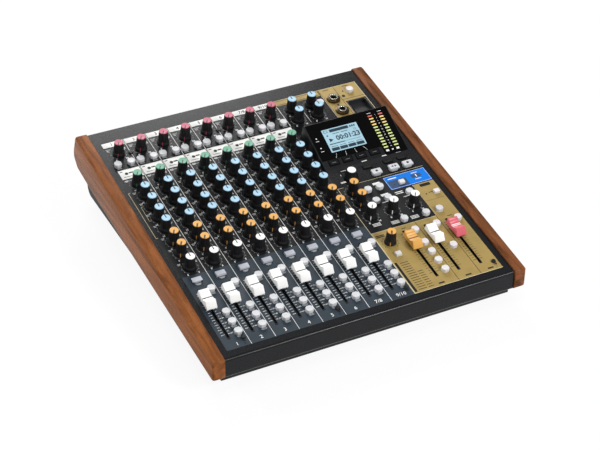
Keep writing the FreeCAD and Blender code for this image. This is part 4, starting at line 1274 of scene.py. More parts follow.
@dataclass
class PanelPrint(Assembly):
    """The print of the eight channel strips, from the coloured fields to the small numbers."""

    divider: float = 0.42
    fader_scale_pitch: float = 3.52
    channel_labels: tuple[str, ...] = ("1", "2", "3", "4", "5", "6", "7/8", "9/10")
    fader_labels: tuple[str, ...] = ("10", "5", "0", "5", "10", "20", "30", "40", "60")

    def sheet(self, name: str, ink: Finish, thickness: float = LINE_THICKNESS,
              foot: float = 0.0) -> PrintSheet:
        """Starts a sheet of ink. A line is thicker than a field, to stand out over it.

        Args:
            name: The piece's name.
            ink: The ink.
            thickness: How thick it is drawn.
            foot: How far above the panel it starts.

        Returns:
            The empty sheet.
        """
        return PrintSheet(Piece(name, "panel_paint"), self.rules, ink, foot, thickness)

    def per_strip(self, across: float, y: float) -> list[Spot]:
        """Gives the same place in every channel strip."""
        return [Spot(self.layout.left(n) + across, y) for n in range(self.layout.channels)]

    def bars_round(self, sheet: PrintSheet, control: str,
                   bars: Sequence[tuple[float, float, float, float]]) -> None:
        """Prints the same bars round a control of every channel strip.

        Args:
            sheet: The sheet that they go on.
            control: The control's name in its strip.
            bars: Each bar's width and depth, and how far right and up the panel it stands.
        """
        x, y = self.layout.place(f"ch1_{control}")
        for width, depth, right, up in bars:
            sheet.bars(width, depth, self.per_strip(x - self.layout.margin + right, y + up))

    def build(self) -> None:
        """Prints the fields, then the white and grey lines and numbers over them."""
        self.fields()
        self.white_lines()
        self.grey_tags()
        self.dark_marks()

    def fields(self) -> None:
        """Prints the blue-black fader field and the black field of the tone controls."""
        right = self.layout.left(self.layout.channels) + 0.3
        navy = self.sheet("print_fader_field", Finishes.navy, FIELD_THICKNESS)
        navy.field(7.0, right, 10.0, 116.0, 0.6, self.layout.openings())
        navy.finish(self.face)
        black = self.sheet("print_tone_field", Finishes.black, FIELD_THICKNESS)
        black.field(4.4, right, 116.0, 263.0, 0.6)
        black.finish(self.face)

    def white_lines(self) -> None:
        """Prints the dividers, the two header bands, the scales and the channel numbers."""
        layout = self.layout
        sheet = self.sheet("print_white_lines", Finishes.white)
        last = layout.left(layout.channels)
        for n in range(layout.channels):
            start, end = layout.left(n) + 0.85, layout.left(n + 1) - 0.85
            sheet.field(start, end, 325.0, 332.5)
            sheet.field(start, end, 271.5, 286.0)
            if n:
                x = layout.left(n)
                sheet.field(x - self.divider / 2.0, x + self.divider / 2.0, 10.4, 332.5)
        sheet.field(last - self.divider / 2.0, last + self.divider / 2.0, 287.0, 323.0)
        self.scales(sheet)
        for label, spot in zip(self.channel_labels, self.per_strip(12.4, 14.9)):
            sheet.numbers(label, 4.3, [spot])
        sheet.finish(self.face)
        self.cream_lines(last)

    def cream_lines(self, edge: float) -> None:
        """Prints the fine cream lines: the brackets of the tone controls and the master border.

        Args:
            edge: The x of the border between the channels and the master section.
        """
        sheet = self.sheet("print_cream_lines", Finishes.cream)
        for x, low, high in ((5.4, 177.0, 250.0), (9.4, 203.0, 226.0)):
            sheet.field(x, x + 0.35, low, high)
            sheet.field(x, x + 2.4, low, low + 0.35)
            sheet.field(x, x + 2.4, high - 0.35, high)
        sheet.field(edge - 0.1, edge + 0.35, 10.4, 176.6)
        sheet.field(edge + 0.35, edge + 7.0, 176.2, 176.6)
        sheet.field(edge + 12.0, edge + 102.0, 177.2, 177.5)
        sheet.finish(self.face)

    def scales(self, sheet: PrintSheet) -> None:
        """Prints the scale and the end numbers round every channel knob and fader.

        Args:
            sheet: The sheet that they go on.
        """
        left = self.layout.margin
        ends = {"trim": ("0", "50"), "comp": ("0", "10"), "pan": ("5", "5")}
        for name in CHANNEL_KNOBS:
            x, y = self.layout.place(f"ch1_{name}_knob")
            low, high = ends.get(name, ("15", "15") if name.startswith("eq") else ("0", "10"))
            sheet.ends(low, high, self.per_strip(x - left, y))
            self.bars_round(sheet, f"{name}_knob", ((3.6, 0.55, -8.6, 8.0), (2.6, 0.55, -8.8, 6.4),
                                                    (2.6, 0.55, 8.8, 7.4), (1.9, 0.55, 9.2, 5.9)))
        slot, foot = self.layout.place("fader_1")[0] - left, 30.3
        sheet.ladders(-3.6, self.fader_scale_pitch, self.per_strip(slot - 1.9, foot))
        sheet.ladders(2.4, self.fader_scale_pitch, self.per_strip(slot + 1.9, foot))
        step = 16.0 * self.fader_scale_pitch / (len(self.fader_labels) - 1)
        for n, label in enumerate(reversed(self.fader_labels)):
            sheet.numbers(label, 1.6, self.per_strip(slot + 5.9, foot + n * step))

    def grey_tags(self) -> None:
        """Prints the scales, the tags under the keys and the bars under the header bands."""
        dials = self.sheet("print_scales", Finishes.scale)
        for name in CHANNEL_KNOBS:
            x, y = self.layout.place(f"ch1_{name}_knob")
            dials.dials(self.per_strip(x - self.layout.margin, y))
        dials.finish(self.face)
        sheet = self.sheet("print_grey_tags", Finishes.grey)
        self.bars_round(sheet, "mute_key", ((6.0, 1.2, 0.0, -4.6), (3.8, 1.1, 0.0, -5.8)))
        for n in range(1, 5):
            self.bars_round(sheet, f"assign_{n}_key", ((6.0, 0.7, 0.0, -4.7),
                                                       (4.8, 0.6, 0.0, -5.9)))
        for name in ("pad", "filter"):
            self.bars_round(sheet, f"{name}_key", ((5.0, 0.9, 0.0, -5.2),))
        for width, depth, x, y in ((6.0, 1.1, 4.4, 321.6), (8.0, 1.1, 5.2, 268.2),
                                   (4.2, 0.8, 19.4, 316.6)):
            sheet.bars(width, depth, self.per_strip(x, y))
        sheet.finish(self.face)

    def dark_marks(self) -> None:
        """Prints the dark numbers and marks that stand on the white header bands, and a black
        surround round each fader slot that is painted shade.
        """
        sheet = self.sheet("print_dark_marks", Finishes.black, LINE_THICKNESS - 0.02,
                           FIELD_THICKNESS)
        for label, spot in zip(self.channel_labels, self.per_strip(11.0, 328.5)):
            sheet.numbers(label, 4.2, [spot], 0.06)
        sheet.dots(1.9, self.per_strip(8.2, 279.4))
        sheet.bars(4.6, 1.8, self.per_strip(13.0, 279.8))
        sheet.bars(9.0, 0.5, self.per_strip(8.0, 274.6))
        sheet.bars(3.0, 0.9, self.per_strip(3.6, 283.4))
        # A black field round each fader slot, open over the slot itself: painted shade that widens
        # the slot's dark look.
        low, high = self.layout.slot_ends
        for node in self.layout.faders():
            x = self.layout.place(node)[0]
            sheet.field(x - 1.5, x + 1.5, low - 1.6, high + 0.3, 0.4, self.layout.openings())
        sheet.finish(self.face)


@dataclass
class MasterPrint(PanelPrint):
    """The print of the master section: gold plates, a blue panel, and lines and scales."""

    def build(self) -> None:
        """Prints the plates, then the light and the dark lines over them."""
        self.fields()
        self.blue_panel()
        self.light_lines()
        self.dark_lines()

    def fields(self) -> None:
        """Prints the gold plates, the painted highlight along their rims, and the black field
        between them.
        """
        left = self.layout.left(self.layout.channels) + 0.5
        gold = self.sheet("print_gold_plates", Finishes.gold, FIELD_THICKNESS)
        openings = self.layout.openings()
        gold.field(left, 309.8, 10.3, 102.8, 0.5, openings)
        gold.field(284.8, 309.8, 102.8, 153.5)
        gold.field(left, 262.4, 323.4, 332.6, 0.4)
        gold.field(263.4, 309.8, 267.2, 332.6, 0.4, openings)
        gold.finish(self.face)
        # Pale cream lines along the gold plates' rims: a painted highlight on their edges.
        edge = self.sheet("print_gold_borders", Finishes.cream)
        for x0, x1, y0, y1 in ((left, 309.8, 10.3, 10.8), (left, left + 0.45, 10.8, 102.8),
                               (left, 284.6, 102.4, 102.8), (309.2, 309.8, 267.2, 332.6),
                               (left, 309.2, 332.2, 332.6), (263.4, 263.9, 267.2, 323.4),
                               (284.8, 285.3, 102.8, 153.5)):
            edge.field(x0, x1, y0, y1)
        edge.finish(self.face)
        black = self.sheet("print_master_field", Finishes.black, FIELD_THICKNESS)
        black.field(left, 284.2, 103.4, 177.6, 0.5)
        black.finish(self.face)

    def blue_panel(self) -> None:
        """Prints the blue panel with its darker inset and its pale marks."""
        blue = self.sheet("print_blue_panel", Finishes.blue)
        blue.field(261.0, 309.8, 154.6, 174.6, 0.6)
        blue.finish(self.face)
        inset = self.sheet("print_blue_panel_inset", Finishes.deep_blue, 0.06, LINE_THICKNESS)
        inset.field(262.4, 284.0, 155.8, 167.4, 0.4)
        inset.field(290.4, 302.0, 163.4, 168.4, 0.8)
        inset.finish(self.face)
        pale = self.sheet("print_blue_panel_marks", Finishes.white, FIELD_THICKNESS, LINE_THICKNESS)
        pale.frame(261.4, 309.4, 155.0, 174.2, 0.22)
        pale.bars(10.0, 1.1, [Spot(270.0, 170.6)])
        pale.bars(7.0, 0.7, [Spot(296.2, 170.6), Spot(296.2, 160.8)])
        pale.bars(1.0, 4.0, [Spot(296.2, 165.9)])
        pale.finish(self.face)

    def light_lines(self) -> None:
        """Prints the white scales, outlines and small bars."""
        layout = self.layout
        sheet = self.sheet("print_master_white_lines", Finishes.white)
        knobs = layout.rear_knobs() + layout.front_knobs() + layout.send_knobs()
        sheet.field(232.8, 233.1, 286.0, 303.0)
        dials = self.sheet("print_master_scales", Finishes.scale)
        dials.dials(knobs)
        dials.finish(self.face)
        sheet.ends("0", "10", knobs)
        jog = layout.place("jog_dial")
        sheet.bars(6.2, 1.1, [Spot(jog[0] - 3.1, jog[1] + 11.4)])
        sheet.bars(0.7, 1.8, [Spot(jog[0] - 8.8, jog[1] + 5.6)])
        sheet.bars(6.0, 0.6, [Spot(jog[0] - 11.4, jog[1] - 4.8), Spot(jog[0] - 11.4, jog[1] - 6.0)])
        for row in (149.0, 167.9):
            sheet.field(246.6, 255.2, row, row + 3.5, 0.3)
        sheet.bars(9.0, 0.9, [Spot(266.5, y) for y in (147.2, 149.6)])
        blocks = ((221.4, 113.0), (241.1, 109.5), (263.7, 109.4))
        sheet.bars(9.0, 0.7, [Spot(x, y + 1.7 * n) for x, y in blocks for n in (-1, 0, 1)])
        sheet.bars(7.0, 0.7, [Spot(246.0 + 25.16 * n, 140.6) for n in range(2)])
        sheet.finish(self.face)

    def dark_lines(self) -> None:
        """Prints the dark lines, scales and bars that stand on the gold plates."""
        layout = self.layout
        sheet = self.sheet("print_master_dark_lines", Finishes.black)
        for x, y0, y1 in ((259.6, 10.6, 102.0), (284.9, 10.6, 152.0), (282.5, 268.0, 332.0),
                          (264.2, 268.0, 332.0)):
            sheet.field(x - 0.22, x + 0.22, y0, y1)
        sheet.field(282.6, 309.4, 307.8, 308.2)
        sheet.bars(0.9, 0.3, [Spot(287.6 + 1.5 * n, 126.0) for n in range(14)])
        sheet.field(210.4, 213.0, 12.2, 56.0)
        for y in (324.6, 331.0):
            sheet.field(210.4, 262.0, y, y + 0.4)
        rows = range(13)
        sheet.bars(9.0, 0.6, [Spot(220.2, 14.0 + 3.3 * n) for n in rows])
        sheet.bars(6.0, 0.6, [Spot(229.6, 14.0 + 3.3 * n) for n in rows if n < 8])
        sheet.bars(9.8, 1.1, [Spot(215.9, y) for y in (95.2, 97.2)])
        sheet.field(292.0, 304.0, 147.6, 151.8, 0.4)
        foot = 30.3
        for name, reach in (("effect", -0.5), ("sub", 5.0), ("main", 5.5)):
            slot = layout.place(f"fader_{name}")[0]
            sheet.ladders(-3.6, self.fader_scale_pitch, [Spot(slot - 1.9, foot)])
            sheet.ladders(3.6, self.fader_scale_pitch, [Spot(slot + 1.9, foot)])
            sheet.bars(6.4, 1.7, [Spot(slot + reach, 14.2)])
        level = layout.place("effect_level_knob")
        sheet.dials([Spot(*level)])
        sheet.bars(7.0, 0.8, [Spot(272.0, 329.6), Spot(296.0, 329.6), Spot(276.0, 291.2)])
        sheet.dots(1.4, [Spot(274.0, 301.8)])
        sheet.dots(2.0, [Spot(286.6, 313.8)])
        sheet.dots(1.0, [Spot(289.6, 321.7)])
        sheet.field(308.5, 309.2, 267.4, 304.4)
        sheet.bars(5.0, 0.8, [Spot(298.0, 137.0), Spot(298.0, 98.0), Spot(244.0, 98.0)])
        sheet.finish(self.face)


# Controls

class CapColour(Enum):
    """A knob's cap, pointer and skirt mark finishes by its task, and its pointer's width."""

    GAIN = (Finishes.cap_red, Finishes.pointer, Finishes.mark_red, 1.05)
    DYNAMICS = (Finishes.cap_green, Finishes.pointer, Finishes.mark_green, 1.05)
    TONE = (Finishes.cap_blue, Finishes.pointer, Finishes.mark_blue, 1.05)
    SEND = (Finishes.cap_orange, Finishes.pointer_brown, Finishes.mark_orange, 1.7)
    BALANCE = (Finishes.cap_white, Finishes.pointer, Finishes.cap_white, 1.05)


TWELVE, SEVEN = 90.0, 240.0

CHANNEL_KNOBS: dict[str, tuple[CapColour, float]] = {
    "trim": (CapColour.GAIN, SEVEN),
    "comp": (CapColour.DYNAMICS, SEVEN),
    "eq_1": (CapColour.TONE, TWELVE),
    "eq_2": (CapColour.TONE, TWELVE),
    "eq_3": (CapColour.TONE, TWELVE),
    "eq_4": (CapColour.TONE, TWELVE),
    "aux_1": (CapColour.SEND, SEVEN),
    "aux_2": (CapColour.SEND, SEVEN),
    "pan": (CapColour.BALANCE, TWELVE),
}


@dataclass
class Knobs(Assembly):
    """Every knob: a flared skirt, a fluted grip and a coloured cap with its pointer."""

    skirt_radius: float = 6.45
    grip_radius: float = 5.6
    cap_radius: float = 4.6
    height: float = 16.2
    skirt_height: float = 3.4
    cap_thickness: float = 0.7
    gap: float = 0.45
    flutes: int = 18
    flute_depth: float = 0.17
    mark_width: float = 0.8

    def skirt(self) -> Mesh:
        """Turns the flared skirt, and a plain core up to the cap.

        Returns:
            The mesh.
        """
        r, top = self.skirt_radius, self.skirt_height
        return lathe([(0.0, self.gap), (r - 0.35, self.gap), (r, self.gap + 0.35), (r - 0.05, 1.9),
                      (r - 0.3, 2.7), (self.grip_radius, top + 0.3),
                      (self.grip_radius - 0.6, top + 0.6), (0.0, top + 0.6)], 36)

    def grip(self) -> Mesh:
        """Bakes the fluted grip.

        Returns:
            The mesh.
        """
        foot, top = self.skirt_height - 0.2, self.height - self.cap_thickness
        depth, sides_per_flute = self.flute_depth, 4
        mesh = self.rules.flute.bake(
            Finishes.knob, Flutes=self.flutes, Sides=sides_per_flute * self.flutes, Depth=depth,
            Foot_Radius=self.grip_radius - depth, Top_Radius=self.cap_radius + 0.2 - depth,
            Height=top - foot)
        return moved(mesh, Spot(0.0, 0.0, (foot + top) / 2.0))

    def cap(self) -> Mesh:
        """Turns the coloured cap, with a soft rim and a slightly sunk middle.

        Returns:
            The mesh.
        """
        r, top = self.cap_radius, self.height
        foot = top - self.cap_thickness - 0.1
        return lathe([(0.0, foot), (r, foot), (r, top - 0.3), (r - 0.12, top - 0.08),
                      (r - 0.35, top), (r - 1.0, top - 0.06), (0.0, top - 0.1)], 36, 50.0)

    @staticmethod
    def blade(outline: Outline, width: float) -> Mesh:
        """Makes a thin upright plate from a side outline of (reach, w) points, out along x."""
        half = width / 2.0
        return moved(across(outline, -half, half), Spot(0.0, 0.0, turn=-90.0))

    def pointer(self, width: float) -> Mesh:
        """Makes the dark line that runs over the cap from its middle to its rim.

        Args:
            width: How wide the line is.

        Returns:
            The mesh, out along x.
        """
        r, top = self.cap_radius, self.height
        return self.blade([(-0.4, top - 0.3), (r + 0.04, top - 0.9), (r + 0.04, top - 0.28),
                           (r - 0.35, top + 0.04), (-0.4, top - 0.04)], width)

    def mark(self) -> Mesh:
        """Makes the coloured line up the skirt, under the pointer.

        Returns:
            The mesh, out along x.
        """
        skirt, grip, top = self.skirt_radius, self.grip_radius, self.skirt_height
        return self.blade([(grip - 0.8, 0.6), (skirt + 0.05, 0.6), (skirt + 0.05, 1.9),
                           (skirt - 0.2, 2.8), (grip + 0.06, top + 0.4), (grip + 0.02, top + 1.6),
                           (grip - 0.8, top + 1.6)], self.mark_width)

    def dress(self, piece: Piece, colour: CapColour, spots: Sequence[Spot],
              pointed: bool = True) -> None:
        """Adds knobs of one colour to a piece.

        Args:
            piece: The piece.
            colour: The caps' colour.
            spots: The middles of the knobs, turned as they point.
            pointed: Whether they have a pointer and a mark.
        """
        cap, pointer, mark, pointer_width = colour.value
        shapes = [(self.skirt(), Finishes.knob), (self.grip(), Finishes.knob), (self.cap(), cap)]
        if pointed:
            shapes += [(self.pointer(pointer_width), pointer), (self.mark(), mark)]
        for shape, finish in shapes:
            self.stamp(piece, shape, finish, spots)

    def build(self) -> None:
        """Makes the live knobs, then the fixed ones of the channels and the master section."""
        layout = self.layout
        live = {f"ch1_{name}_knob": kind for name, kind in CHANNEL_KNOBS.items()}
        live["effect_level_knob"] = (CapColour.SEND, SEVEN)
        for node, (colour, turn) in live.items():
            piece = Piece(f"{node}_dressed", "knob_plastic", node, (node,))
            self.dress(piece, colour, [Spot(*layout.place(node), turn=turn)])
            piece.finish(self.face)
        piece = Piece("jog_dial_dressed", "knob_plastic", "jog_dial", ("jog_dial",))
        jog = replace(self, skirt_radius=7.95, grip_radius=7.5, cap_radius=4.6, height=10.2,
                      skirt_height=1.9, flutes=24)
        jog.dress(piece, CapColour.BALANCE, [Spot(*layout.place("jog_dial"))], pointed=False)
        piece.finish(self.face)
        piece = Piece("channel_knobs_dressed", "knob_plastic", replaces=("channel_knobs",))
        for name, (colour, turn) in CHANNEL_KNOBS.items():
            x, y = layout.place(f"ch1_{name}_knob")
            spots = [Spot(x + n * layout.pitch, y, turn=turn) for n in range(1, layout.channels)]
            self.dress(piece, colour, spots)
        piece.finish(self.face)
        piece = Piece("master_knobs_dressed", "knob_plastic", replaces=("master_knobs",))
        for colour, turn, spots in ((CapColour.TONE, TWELVE, layout.rear_knobs()),
                                    (CapColour.SEND, SEVEN, layout.send_knobs()),
                                    (CapColour.BALANCE, SEVEN, layout.front_knobs())):
            self.dress(piece, colour, [replace(spot, turn=turn) for spot in spots])
        piece.finish(self.face)


class KeyShape(Enum):
    """A key's head: its width, depth, height, corner size and the steps round a corner."""

    ROUND = (7.8, 7.4, 3.9, 1.9, 1)
    MUTE = (10.4, 6.0, 2.6, 0.3, 3)
    TRANSPORT = (11.0, 7.2, 3.9, 0.4, 3)
    SMALL = (6.4, 5.2, 3.0, 0.4, 3)
    SHADE = (10.0, 5.2, 1.2, 1.0, 4)
    SOFT = (10.6, 5.4, 1.0, 0.6, 3)


@dataclass
class Keys(Assembly):
    """Every key: a flat-topped moulded head with a soft rim, up through the panel."""

    neck: float = 1.4
    neck_inset: float = 0.35
    clip: float = 1.9
    clearance: float = 1.95
    taper: float = 0.12
    rim: float = 0.26

    def head(self, shape: KeyShape, live: bool) -> Mesh:
        """Lofts a key's head.

        Args:
            shape: The key's size.
            live: Whether the head stands on a neck, clear of the panel when it is pressed.

        Returns:
            The mesh, with the panel's face at zero.
        """
        width, depth, height, corner, steps = shape.value
        outline = rectangle(width, depth, corner, steps)
        foot = self.clearance if live else 0.0
        edge = min(self.rim, 0.3 * (height - foot))
        rings = [(outline, foot), (outline, foot + 0.4 * (height - foot))]
        for step in range(4):
            turn = math.pi / 2.0 * step / 3.0
            inset = self.taper + edge * (1.0 - math.cos(turn))
            rings.append((scaled(outline, inset), height - edge + edge * math.sin(turn)))
        rings.append((scaled(outline, self.taper + edge + 0.5), height - 0.09))
        return loft(rings, 40.0)

    def add(self, piece: Piece, shape: KeyShape, finish: Finish, spots: Sequence[Spot],
            live: bool = False) -> None:
        """Adds keys of one kind to a piece.

        Args:
            piece: The piece.
            shape: The keys' size.
            finish: Their finish.
            spots: Their middles.
            live: Whether they have a neck down through the panel.
        """
        self.stamp(piece, self.head(shape, live), finish, spots)
        if live:
            width, depth = shape.value[:2]
            inset = 2.0 * self.neck_inset
            outline = rectangle(width - inset, depth - inset, self.clip, 1)
            neck = prism(outline, -self.neck, self.clearance + 0.1)
            self.stamp(piece, neck, finish, spots)

    def build(self) -> None:
        """Makes the live keys, then the fixed ones."""
        layout = self.layout
        names = ["pad", "filter", "mute"] + [f"assign_{n}" for n in range(1, 5)]
        fixed = Piece("channel_keys_dressed", "key_plastic", replaces=("channel_keys",))
        for name in names:
            node = f"ch1_{name}_key"
            x, y = layout.place(node)
            shape = KeyShape.MUTE if name == "mute" else KeyShape.ROUND
            piece = Piece(f"{node}_dressed", "key_plastic", node, (node,))
            finish = Finishes.key_mute if name == "mute" else Finishes.key
            self.add(piece, shape, finish, [Spot(x, y)], live=True)
            piece.finish(self.face)
            spots = [Spot(x + n * layout.pitch, y) for n in range(1, layout.channels)]
            self.add(fixed, shape, finish, spots)
        fixed.finish(self.face)
        self.transport()
        self.master_keys()

    def transport(self) -> None:
        """Makes the three transport keys with their printed signs."""
        height = KeyShape.TRANSPORT.value[2]
        triangle = [(-1.1, -1.4), (1.3, 0.0), (-1.1, 1.4)]
        back = [(-x, y) for x, y in reversed(triangle)]
        signs = {"play_key": [rectangle(2.4, 2.4)],
                 "rewind_key": [[(x - 2.0, y) for x, y in back],
                                [(x + 2.0, y) for x, y in triangle]],
                 "forward_key": [polygon(1.4, 16)]}
        for node, outlines in signs.items():
            spot = Spot(*self.layout.place(node))
            piece = Piece(f"{node}_dressed", "key_plastic", node, (node,))
            self.add(piece, KeyShape.TRANSPORT, Finishes.transport, [spot], live=True)
            for outline in outlines:
                sign = prism(outline, height - 0.3, height + 0.03)
                piece.add(moved(sign, spot), Finishes.black)
            piece.finish(self.face)

    def master_keys(self) -> None:
        """Makes the fixed keys of the master section."""
        layout = self.layout
        piece = Piece("master_keys_dressed", "key_plastic", replaces=("master_keys",))
        first = layout.place("effect_level_knob")
        mute_row = layout.place("ch1_mute_key")[1]
        aux_row = layout.place("ch1_aux_2_knob")[1]
        rows = (aux_row - 3.8, aux_row + 14.5)
        columns = [layout.master(across) for across in (42.2, 67.7, 83.4)]
        fader_rows = [layout.place(f"ch1_assign_{n}_key")[1] for n in range(1, 5)]
        column = layout.place("ch1_assign_1_key")[0]
        effect, sub, main_strip = [column + (layout.channels + n) * layout.pitch for n in (1, 2, 3)]
        trim_row, play_row = layout.place("ch1_trim_knob")[1], layout.place("play_key")[1]
        grey = [(layout.master(47.38), trim_row - 1.0), (columns[1], rows[0])]
        grey += [(layout.master(x), y) for x in (28.4, 42.2) for y in rows]
        grey += [(x, mute_row + 2.2) for x in columns]
        pale = [(layout.master(88.1), trim_row + 7.8), (effect, fader_rows[3] - 20.0)]
        pale += [(effect, y) for y in fader_rows] + [(sub, y) for y in fader_rows[2:]]
        pale += [(main_strip, fader_rows[3])]
        for finish, places in ((Finishes.key, grey), (Finishes.key_pale, pale)):
            self.add(piece, KeyShape.ROUND, finish, [Spot(x, y) for x, y in places])
        pan_row = layout.place("ch1_pan_knob")[1]
        small = [(columns[1], rows[1] - 1.4), (columns[2] + 11.4, pan_row + 8.5),
                 (first[0] - 1.0, first[1] - 18.5)]
        self.add(piece, KeyShape.SMALL, Finishes.key_pale, [Spot(x, y) for x, y in small])
        shades = [Spot(layout.master(x), play_row + 12.9) for x in (45.8, 70.3, 86.9)]
        # A near-black ring under each shade key: painted shade for the gap round it.
        rings = prism(rectangle(11.4, 6.6, 1.6, 3), 0.0, 0.12)
        self.stamp(piece, rings, Finishes.window, shades)
        self.add(piece, KeyShape.SHADE, Finishes.key_dark, shades)
        piece.finish(self.face)


@dataclass
class Faders(Assembly):
    """The eleven fader caps: saddle-backed, ribbed at the rear, with a line across."""

    length: float = 23.6
    width: float = 11.2
    height: float = 10.9
    valley: float = 8.0
    gap: float = 3.4
    slants: Pair = (1.9, 4.0)
    ribs: int = 3
    rib_depth: float = 0.6
    stem_width: float = 1.2
    stem_length: float = 6.5
    carriage_depth: float = 5.0

    def outline(self) -> Outline:
        """Gives the cap's side outline: its ends lean in, and its back dips to the middle."""
        rear, front = (self.half(*end) for end in zip(self.slants, (self.rib_depth, 0.0)))
        return rear + [(-y, w) for y, w in reversed(front)]

    def half(self, slant: float, rib_depth: float) -> Outline:
        """Gives one half of the side outline, from the foot of its end to the middle.

        Args:
            slant: How far the end leans in from its foot to its crest.
            rib_depth: How deep the ribs are cut, or nothing for a smooth half.

        Returns:
            The points, with y outwards.
        """
        foot, crest = self.length / 2.0, self.length / 2.0 - slant
        half: Outline = [(foot, self.gap), (foot - 0.1, self.gap + 1.0),
                         (crest + 0.45, self.height - 1.2), (crest, self.height - 0.35),
                         (crest - 0.8, self.height)]
        run = crest - 1.8
        steps = 6 * self.ribs
        for step in range(1, steps + 1):
            share = step / steps
            y = 0.45 + run * (1.0 - share)
            slope = self.valley + (self.height - self.valley) * ((y - 0.45) / run) ** 1.6
            wave = rib_depth * (0.5 - 0.5 * math.cos(2.0 * math.pi * self.ribs * share))
            half.append((y, slope - wave))
        return half + [(0.3, self.valley - 0.5)]

    def cap(self) -> Mesh:
        """Makes the cap, with its sides drawn in towards the top and its ends rounded.

        Returns:
            The mesh.
        """
        mesh = across(self.outline(), -self.width / 2.0, self.width / 2.0, (1.2, 1.2))
        for vertex in mesh.vertices:
            rise = (vertex.co.z - self.gap) / (self.height - self.gap)
            vertex.co.x *= 1.0 - 0.06 * rise
        return mesh

    def line(self, thickness: float) -> Mesh:
        """Makes a line across the valley, and a little way down both sides.

        Args:
            thickness: How wide the line is.

        Returns:
            The mesh.
        """
        half = self.width * 0.474
        rings = [(rectangle(2.0 * half + 0.14, thickness), self.valley - 3.6),
                 (rectangle(2.0 * half - 0.1, thickness), self.valley - 0.7),
                 (rectangle(2.0 * half - 0.7, thickness), self.valley + 0.1)]
        return loft(rings)

    def stem(self) -> Mesh:
        """Makes the blade that goes down through the slot to the carriage."""
        outline = rectangle(self.stem_width, self.stem_length, 0.4, 2)
        return prism(outline, -self.carriage_depth, self.gap + 0.5)

    def build(self) -> None:
        """Makes each cap on its own body."""
        broad, twin = ((0.0, 1.2),), ((0.0, 0.75), (1.9, 0.75))
        plain = ("cap_white", Finishes.cap_white, Finishes.pointer, broad)
        kinds = {"fader_effect": ("cap_orange", Finishes.cap_orange, Finishes.pointer_brown, broad),
                 "fader_main": ("cap_red", Finishes.cap_coral, Finishes.white, twin)}
        for node in self.layout.faders():
            slot, finish, ink, lines = kinds.get(node, plain)
            spot = Spot(*self.layout.place(node))
            piece = Piece(f"{node}_dressed", slot, node, (node,))
            piece.add(moved(self.cap(), spot), finish)
            for behind, thickness in lines:
                piece.add(moved(self.line(thickness), replace(spot, y=spot.y + behind)), ink)
            piece.add(moved(self.stem(), spot), Finishes.steel)
            piece.finish(self.face)


# Shell

@dataclass
class Shell(Assembly):
    """The cheeks, the feet and the screws, and the finishes of the plain sheet parts."""

    cheek_thickness: float = 13.0
    cheek_edge: float = 2.4
    cheek_inner_edge: float = 0.7
    proud: float = 2.0
    overhang: float = 1.5
    front_drop: float = 23.6
    rear_depth: float = 38.0
    level_run: float = 52.0
    bulge: float = 5.5
    heel: float = 9.0
    foot_radius: float = 9.0
    foot_height: float = 8.0

    def cheek_outline(self) -> Outline:
        """Gives a cheek's side outline on the panel's y and w.

        Returns:
            The outline, with its corners rounded.
        """
        rear, length = self.layout.length + self.overhang, self.layout.length
        far = rear + self.bulge
        normal = self.face.matrix.to_3x3() @ Vector((0.0, 0.0, 1.0))
        tilt = math.atan2(-normal.y, normal.z)
        points = [(-self.overhang, self.proud),
                  (-self.overhang - self.front_drop * math.sin(tilt),
                   self.proud - self.front_drop * math.cos(tilt)),
                  (length - self.level_run, -self.rear_depth),
                  (rear - self.bulge, -self.rear_depth),
                  (far, self.heel - self.rear_depth),
                  (far, 2.0 * self.heel - self.rear_depth),
                  (rear, self.proud)]
        radii = [2.6, 4.0, 80.0, self.heel, self.heel, 2.0 * self.heel, 4.0]
        return rounded(points, radii, 8)

    def cheeks(self) -> None:
        """Makes the two wooden cheeks, with their outer edges well rounded."""
        outline = self.cheek_outline()
        width = self.layout.width
        outer, inner = self.cheek_edge, self.cheek_inner_edge
        for side, start, rims in (("left", -self.cheek_thickness, (outer, inner)),
                                  ("right", width, (inner, outer))):
            node = f"wood_cheek_{side}"
            piece = Piece(f"{node}_dressed", "wood", replaces=(node,))
            # The right cheek takes the darker copy of the wood, which is painted shade.
            finish = Finishes.wood if side == "left" else Finishes.wood_right_shaded
            piece.add(across(outline, start, start + self.cheek_thickness, rims), finish)
            piece.finish(self.face)

    def feet(self) -> None:
        """Turns the four rubber feet, with the sunk seat of each one's screw."""
        low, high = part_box("rubber_feet")
        reach = self.foot_radius * math.cos(math.pi / 12.0) * MM
        r, top = self.foot_radius, self.foot_height
        shape = lathe([(3.9, 4.0), (3.9, 0.6), (4.3, 0.0), (r - 2.6, 0.0), (r - 1.7, 0.5),
                       (r - 0.4, top - 1.0), (r, top - 0.6), (r, top), (1.6, top), (1.6, 4.0)],
                      40, 30.0, loop=True)
        spots = [Spot(x / MM, y / MM) for x in (low.x + reach, high.x - reach)
                 for y in (low.y + reach, high.y - reach)]
        piece = Piece("rubber_feet_dressed", "foot_rubber", replaces=("rubber_feet",))
        self.stamp(piece, shape, Finishes.rubber, spots)
        piece.finish(WorkFrame(Matrix.Scale(MM, 4)))

    def build(self) -> None:
        """Makes the cheeks and feet, and dresses the sheet parts."""
        self.cheeks()
        self.feet()
        for node, finish in {"top_panel": Finishes.panel, "bottom_case": Finishes.case,
                             "rear_panel": Finishes.case, "circuit_boards": Finishes.board,
                             "pot_bodies": Finishes.steel, "switch_bodies": Finishes.socket,
                             "fader_bodies": Finishes.steel, "screws": Finishes.zinc,
                             "card_slot": Finishes.floor_plate, "data_socket": Finishes.chrome,
                             "power_inlet": Finishes.socket, "line_jacks": Finishes.chrome,
                             "power_switch_frame": Finishes.socket,
                             "power_rocker": Finishes.knob}.items():
            for slot in self.layout.nodes[node].material_slots:
                slot.material = finish.material()


# Display

